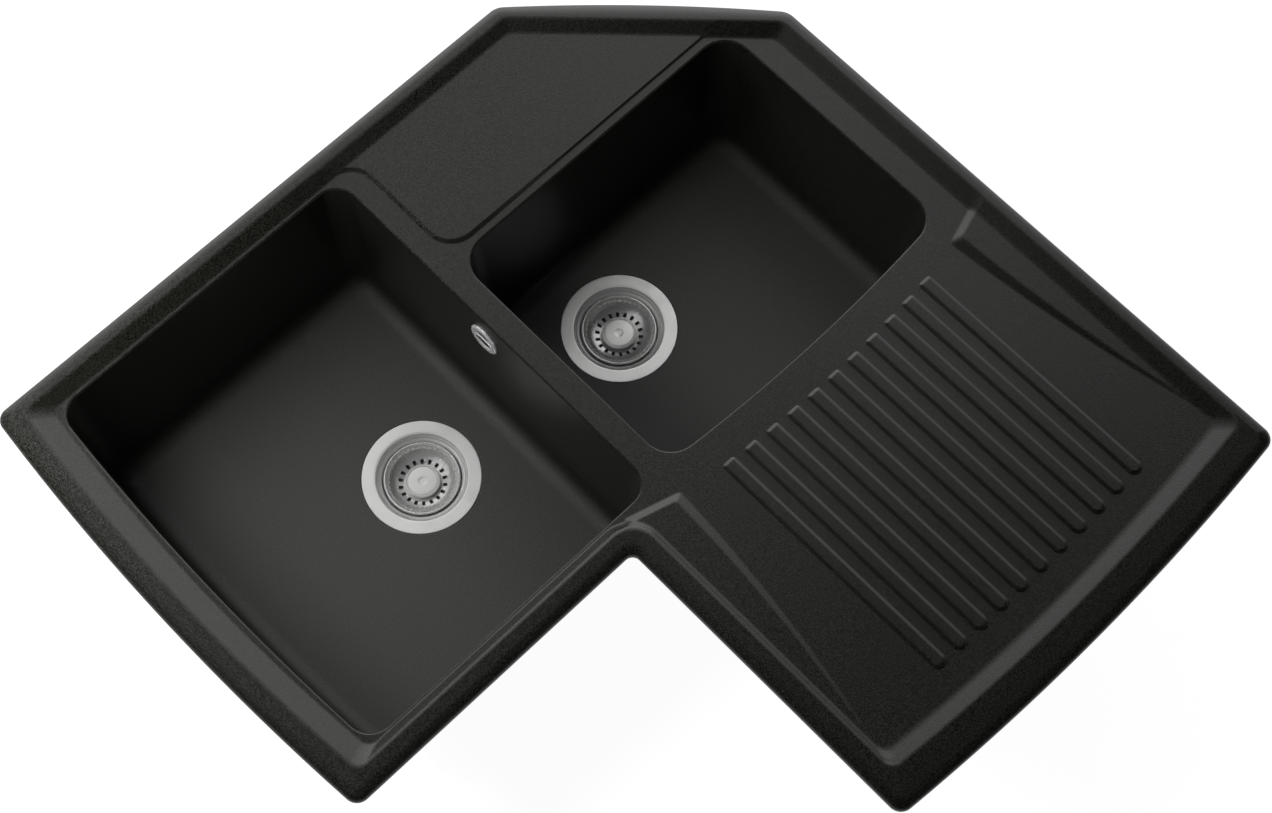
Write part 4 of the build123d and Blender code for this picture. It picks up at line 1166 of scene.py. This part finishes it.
def embossed(rings, centre):
    """Pushes a wall's rings in and out: a wave round the cup times a wave up its wall, each row half a
    wave on from the last, so that small pads stand out between crossing grooves."""
    away = rings - centre
    turn = np.arctan2(away[..., 1], away[..., 0])
    up = np.linspace(0, 1, len(rings))[:, None]
    fade = np.sin(np.pi * up) ** 0.5
    push = EMBOSSING * fade * np.cos(EMBOSSED_ROUND * turn) * np.cos(EMBOSSED_UP * np.pi * up)
    level = np.hypot(away[..., 0], away[..., 1])
    away[..., 0] *= 1 + push / level
    away[..., 1] *= 1 + push / level
    return away + centre


polished = turned_metal("pressed_steel", (0.92, 0.92, 0.91), (0.8, 0.8, 0.79), 0.22, 0.000005, 0.86)
belly_in = belly((23.6, -14.8), (33.6, -12.0), (34.3, -4.6))
belly_out = belly((24.0, -15.6), (34.4, -12.6), (35.1, -4.8))
bead = arc_points((35.35, -4.1), 1.1, 185, -40, 14)
for key, centre in waste_centres.items():
    skin = Skin()
    inside = embossed(turned_rings(centre, [belly_in], CUP_STEPS), centre)
    outside = embossed(turned_rings(centre, [belly_out], CUP_STEPS), centre)
    rim_rings = turned_rings(centre, [bead], CUP_STEPS)
    skin.band([*inside, *rim_rings, *outside[::-1]])
    for rings, lift in ((inside, BASKET_SHEET), (outside, 0.0)):
        slots = []
        for number in range(SLOT_COUNT):
            plan = slot_ring(number * 2 * math.pi / SLOT_COUNT)
            slots.append(np.column_stack([plan, basket_floor(*plan.T) + lift]) + centre)
        hub = circle(*centre[:2], STEM, centre[2] + BASKET_LOW + lift, 36)
        turn = np.linspace(0, 2 * math.pi, FREE_STEPS + 1)[:-1]
        free = [np.column_stack([r * np.cos(turn), r * np.sin(turn)]) for r in FREE_RINGS]
        skin.cover(
            rings[0],
            [hub, *slots],
            np.concatenate(free) + centre[:2],
            lambda x, y: basket_floor(x - centre[0], y - centre[1]) + lift + centre[2],
        )
        if lift:
            upper = [hub, *slots]
    hole_walls(skin, upper, [hub, *slots])
    cup = skin.build(f"{key}_basket_cup", "turning", turning_marks(skin, centre))
    cup.data.materials.append(polished)
    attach(cup, f"{key}_strainer")
    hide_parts(f"{key}_basket")

# ---- basket caps and stems ----
# The real cap is a turned stainless button with a small dimple in its top. Its hub sits on the cup, and
# the stem under it goes down into the clamping screw.
AXIS = 0.02
cup_floor = BASKET_LOW + BASKET_SHEET
cap_profile = [
    [(AXIS, -11.34), (1.2, -11.33), (2.6, -11.3), (3.6, -11.16)],
    [(4.2, -11.02), (4.8, -10.98), (5.4, -11.0), (10.0, -11.1), (13.6, -11.25)],
    [(13.9, -11.4), (14.15, -11.8), (14.45, -11.85), (14.75, -11.5)],
    arc_points((15.2, -12.75), 1.5, 82, 8, 8),
    [(16.75, -12.9), (16.6, -13.3), (16.2, -13.55), (15.5, -13.6), (5.6, -13.6), (5.0, -14.0)],
    [(5.0, cup_floor + 0.3), (4.7, cup_floor), (STEM, cup_floor), (STEM, -12.5), (AXIS, -12.5)],
]
stem_profile = [
    [(AXIS, -12.52), (2.3, -12.52), (STEM, -12.9), (STEM, -36.6)],
    [(2.55, -37.3), (2.1, -37.8), (1.4, -38.0), (AXIS, -38.0)],
]
turned_parts = {"basket_cap": (cap_profile, brushed), "basket_stem": (stem_profile, polished)}
for key, centre in waste_centres.items():
    for part, (profile, steel) in turned_parts.items():
        skin = Skin()
        rings = turned_rings(centre, profile)
        skin.band(rings)
        skin.lid(rings[0])
        skin.lid(rings[-1])
        made = skin.build(f"{key}_turned_{part}", "turning", turning_marks(skin, centre))
        made.data.materials.append(steel)
        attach(made, f"{key}_strainer")
        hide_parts(f"{key}_{part}")

# ---- overflow rosette ----
# The real piece is a chromed ring with one bar across its opening. Its sleeve screws into the housing
# behind the divider wall and pulls both against it.
ROSETTE_FACE = -0.15
ROSETTE_STEPS = 120
SLEEVE_DEPTH = 0.2
BAR_STEPS = 20
BAR_HALF = 1.15
BAR_DEPTH = 1.1
BAR_MIDDLE = -0.9
BAR_REACH = 10.9
BAR_SWELL = 0.35
rosette_profile = [
    [(17.0, 0.0), (17.0, -0.5)],
    arc_points((14.6, -0.5), 2.4, 0, -80, 10) * (1, 0.8) + (0, -0.1),
    [(13.2, -2.42), (12.2, -2.3)],
    arc_points((11.6, -1.5), 1.1, -70, -180, 9) * (1, 0.8) + (0, -0.25),
    [(10.5, -0.6), (10.5, 13.0), (10.8, 13.3), (11.7, 13.3), (12.0, 13.0), (12.0, 0.0)],
]
skin = Skin()
rings = turned_rings((0, 0, ROSETTE_FACE), rosette_profile, ROSETTE_STEPS)
skin.band([on_wall(ring) for ring in rings], True)
bar_turn = -np.arange(BAR_STEPS) * 2 * math.pi / BAR_STEPS
bar_y = BAR_HALF * np.cos(bar_turn)
bar_z = BAR_MIDDLE + BAR_DEPTH * np.sin(bar_turn)
bar_rings = []
for x in (-BAR_REACH, -9.5, -5.0, 0.0, 5.0, 9.5, BAR_REACH):
    swell = 1 + BAR_SWELL * (abs(x) / BAR_REACH) ** 4
    bar_rings.append(on_wall(np.column_stack([np.full(BAR_STEPS, x), bar_y * swell, bar_z * swell])))
skin.band(bar_rings)
skin.lid(bar_rings[0])
skin.lid(bar_rings[-1])
hole_middle = (OVERFLOW_X, WALL_Y, OVERFLOW_Z)
away = np.linalg.norm(np.concatenate(skin.vertices) - hole_middle, axis=1)
rosette = skin.build("chromed_rosette", "turning", away / 1000)


def plain_material(name, low, high, rough, metallic, scale, depth):
    """A cast or moulded surface: two tones mixed by a soft noise, with a fine bump of the same noise."""
    material, tree, shader = new_material(name)
    shader.inputs["Metallic"].default_value = metallic
    place = tree.nodes.new("ShaderNodeTexCoord")
    noise = tree.nodes.new("ShaderNodeTexNoise")
    noise.inputs["Scale"].default_value = scale
    noise.inputs["Detail"].default_value = 4.0
    tree.links.new(place.outputs["Object"], noise.inputs["Vector"])
    share = place_range(tree, noise.outputs["Fac"], 0.35, 0.7)
    tree.links.new(place_mix(tree, share, low, high), shader.inputs["Base Color"])
    uneven = place_math(tree, "MULTIPLY_ADD", share, 0.12, rough)
    tree.links.new(uneven, shader.inputs["Roughness"])
    place_bump(tree, shader, noise.outputs["Fac"], depth)
    return material


unplated_tones = ((0.006, 0.006, 0.006), (0.012, 0.012, 0.012))
dark_plastic = plain_material("unplated_plastic", *unplated_tones, 0.5, 0.0, 200, 0.00003)
chrome = turned_metal("polished_chrome", (0.97, 0.97, 0.97), (0.9, 0.9, 0.9), 0.12, 0.000002, 0.8)
rosette.data.materials.append(chrome)
# The sleeve is left unplated inside: dark plastic wherever the ring is deeper than the wall's face.
rosette.data.materials.append(dark_plastic)
middles = np.array([face.center for face in rosette.data.polygons]) * 1000 + (SEAT_INSET, -SEAT_INSET, 0)
depth = (middles - hole_middle) @ wall_out
rosette.data.polygons.foreach_set("material_index", (depth > SLEEVE_DEPTH).astype(np.int32))
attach(rosette, "sink")
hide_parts("overflow_rosette")


# ---- rubber seals ----
# The real pieces are moulded black rubber rings and discs, matt, with a bloom of pale dust.
# Widths of the rounded edges of softened CAD pieces, in metres, by what they are made of.
METAL_EDGE = 0.0003
STRAP_EDGE = 0.0004
RUBBER_EDGE = 0.0004
PLASTIC_EDGE = 0.0005


def softened(node, name, width, material):
    """A merged copy of a CAD piece, with its sharp edges rounded by a bevel of the given width, in a
    material."""
    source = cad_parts[node]
    mesh = source.data.copy()
    mesh.name = name
    mesh.materials.clear()
    work = bmesh.new()
    work.from_mesh(mesh)
    bmesh.ops.remove_doubles(work, verts=work.verts, dist=MERGE)
    bmesh.ops.dissolve_limit(work, angle_limit=math.radians(0.5), verts=work.verts, edges=work.edges)
    work.to_mesh(mesh)
    work.free()
    mesh.shade_smooth()
    mesh.set_sharp_from_angle(angle=math.radians(30))
    made = bpy.data.objects.new(name, mesh)
    bpy.context.scene.collection.objects.link(made)
    mesh.materials.append(material)
    bevel = made.modifiers.new("soft_edges", "BEVEL")
    bevel.width = width
    bevel.segments = 2
    bevel.limit_method = "ANGLE"
    bevel.angle_limit = math.radians(35)
    made.modifiers.new("even_normals", "WEIGHTED_NORMAL").keep_sharp = True
    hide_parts(node)
    return made


rubber = plain_material("black_rubber", (0.012, 0.012, 0.012), (0.03, 0.03, 0.029), 0.6, 0.0, 260, 0.00006)
ring_nodes = ["overflow_seal", "overflow_pipe_seal"]
for key in BOWLS:
    ring_nodes += [f"{key}_flange_seal", f"{key}_waste_gasket"]
for node in ring_nodes:
    seal = softened(node, f"{node}_ring", RUBBER_EDGE, rubber)
    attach(seal, "sink")

# The plug seal is a disc under the cup, with a lip that turns down and presses on the dish.
under_cup = BASKET_LOW - 0.02
plug_profile = [
    [(STEM, under_cup), (13.6, under_cup), (14.2, BASKET_LOW - 0.1), (15.8, BASKET_LOW - 0.75)],
    [(16.4, BASKET_LOW - 0.9), (23.4, -18.6), (24.2, -18.8), (25.0, -19.4), (26.4, -23.2)],
    [(26.9, -24.6), (26.95, -24.9), (26.7, -25.0), (25.4, -25.0), (25.0, -24.8), (23.6, -21.0)],
    [(23.2, -20.7), (22.6, -20.6), (12.0, -20.2), (6.3, -20.0), (STEM, -20.0)],
]
for key, centre in waste_centres.items():
    skin = Skin()
    rings = turned_rings(centre, plug_profile)
    skin.band(rings, True)
    disc = skin.build(f"{key}_plug_disc", "turning", turning_marks(skin, centre))
    disc.data.materials.append(rubber)
    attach(disc, f"{key}_strainer")
    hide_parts(f"{key}_plug_seal")

# ---- clamping screws and seal nuts ----
# The real screw is stainless, hollow at its head so that it guides the basket's stem. The thin nut holds
# the plug seal on the stem.
for key in BOWLS:
    screw = softened(f"{key}_clamp_screw", f"{key}_hollow_screw", METAL_EDGE, polished)
    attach(screw, "sink")
    nut = softened(f"{key}_seal_nut", f"{key}_thin_nut", METAL_EDGE, polished)
    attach(nut, f"{key}_strainer")

# ---- wastes and overflow pipe ----
# The real pieces are injection-moulded polypropylene, pale and satin, with a coarse thread on each outlet.
# The union nut and the push-in pipe are of the same plastic.
plastic = plain_material("satin_plastic", (0.66, 0.66, 0.64), (0.7, 0.7, 0.68), 0.38, 0.0, 240, 0.00003)
moulded = {
    "main_waste_body": "main_waste_cup",
    "second_waste_body": "second_waste_cup",
    "overflow_housing": "overflow_duct",
    "overflow_pipe": "overflow_bend",
    "overflow_pipe_nut": "union_nut",
}
for node, name in moulded.items():
    made = softened(node, name, PLASTIC_EDGE, plastic)
    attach(made, "sink")

THREAD_CREST = 24.3
THREAD_ROOT = 23.7
THREAD_PITCH = 2.309
THREAD_LINING = 23.0
THREAD_TOP = -74.0
THREAD_LOW = -103.2
THREAD_ROWS = 110


def thread_sleeve(centre):
    """A thread's outside as a grid of turn by height. Its radius is a rounded wave of the height in
    pitches less the turn, so the ridges climb one pitch a turn. Both ends run out to the root."""
    x, y, z = centre
    turn = -np.arange(TURNED_STEPS) * 2 * math.pi / TURNED_STEPS
    height = np.linspace(THREAD_TOP, THREAD_LOW, THREAD_ROWS)[:, None]
    wave = 0.5 + 0.5 * np.cos(2 * math.pi * height / THREAD_PITCH - turn)
    ends = np.clip(np.minimum(THREAD_TOP - height, height - THREAD_LOW) / THREAD_PITCH, 0, 1)
    radius = THREAD_ROOT + (THREAD_CREST - THREAD_ROOT) * wave * ends
    return np.stack([x + radius * np.cos(turn), y + radius * np.sin(turn), z + height + 0 * radius], axis=-1)


for key, centre in waste_centres.items():
    skin = Skin()
    sleeve = thread_sleeve(centre)
    lining = turned_rings(centre, [[(THREAD_LINING, THREAD_LOW), (THREAD_LINING, THREAD_TOP)]])
    skin.band([*sleeve, *lining], True)
    thread = skin.build(f"{key}_outlet_thread")
    thread.data.materials.append(plastic)
    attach(thread, "sink")

# ---- clip inserts, clip screws and rim clips ----
# The real inserts are knurled brass moulded into bosses; the screws and the bent straps are zinc-plated
# steel. Each strap turns out under the worktop and its toe is drawn up by its screw.
brass = plain_material("bare_brass", (0.5, 0.36, 0.14), (0.66, 0.5, 0.22), 0.3, 1.0, 300, 0.00003)
zinc = plain_material("bright_zinc", (0.5, 0.51, 0.53), (0.68, 0.69, 0.71), 0.28, 1.0, 380, 0.00003)
inserts = softened("clip_inserts", "brass_inserts", METAL_EDGE, brass)
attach(inserts, "sink")
screws = softened("clip_screws", "zinc_screws", METAL_EDGE, zinc)
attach(screws, "sink")
for number in range(1, len(clip_places) + 1):
    strap = softened(f"rim_clip_{number}", f"clip_strap_{number}", STRAP_EDGE, zinc)
    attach(strap, f"clip_arm_{number}")
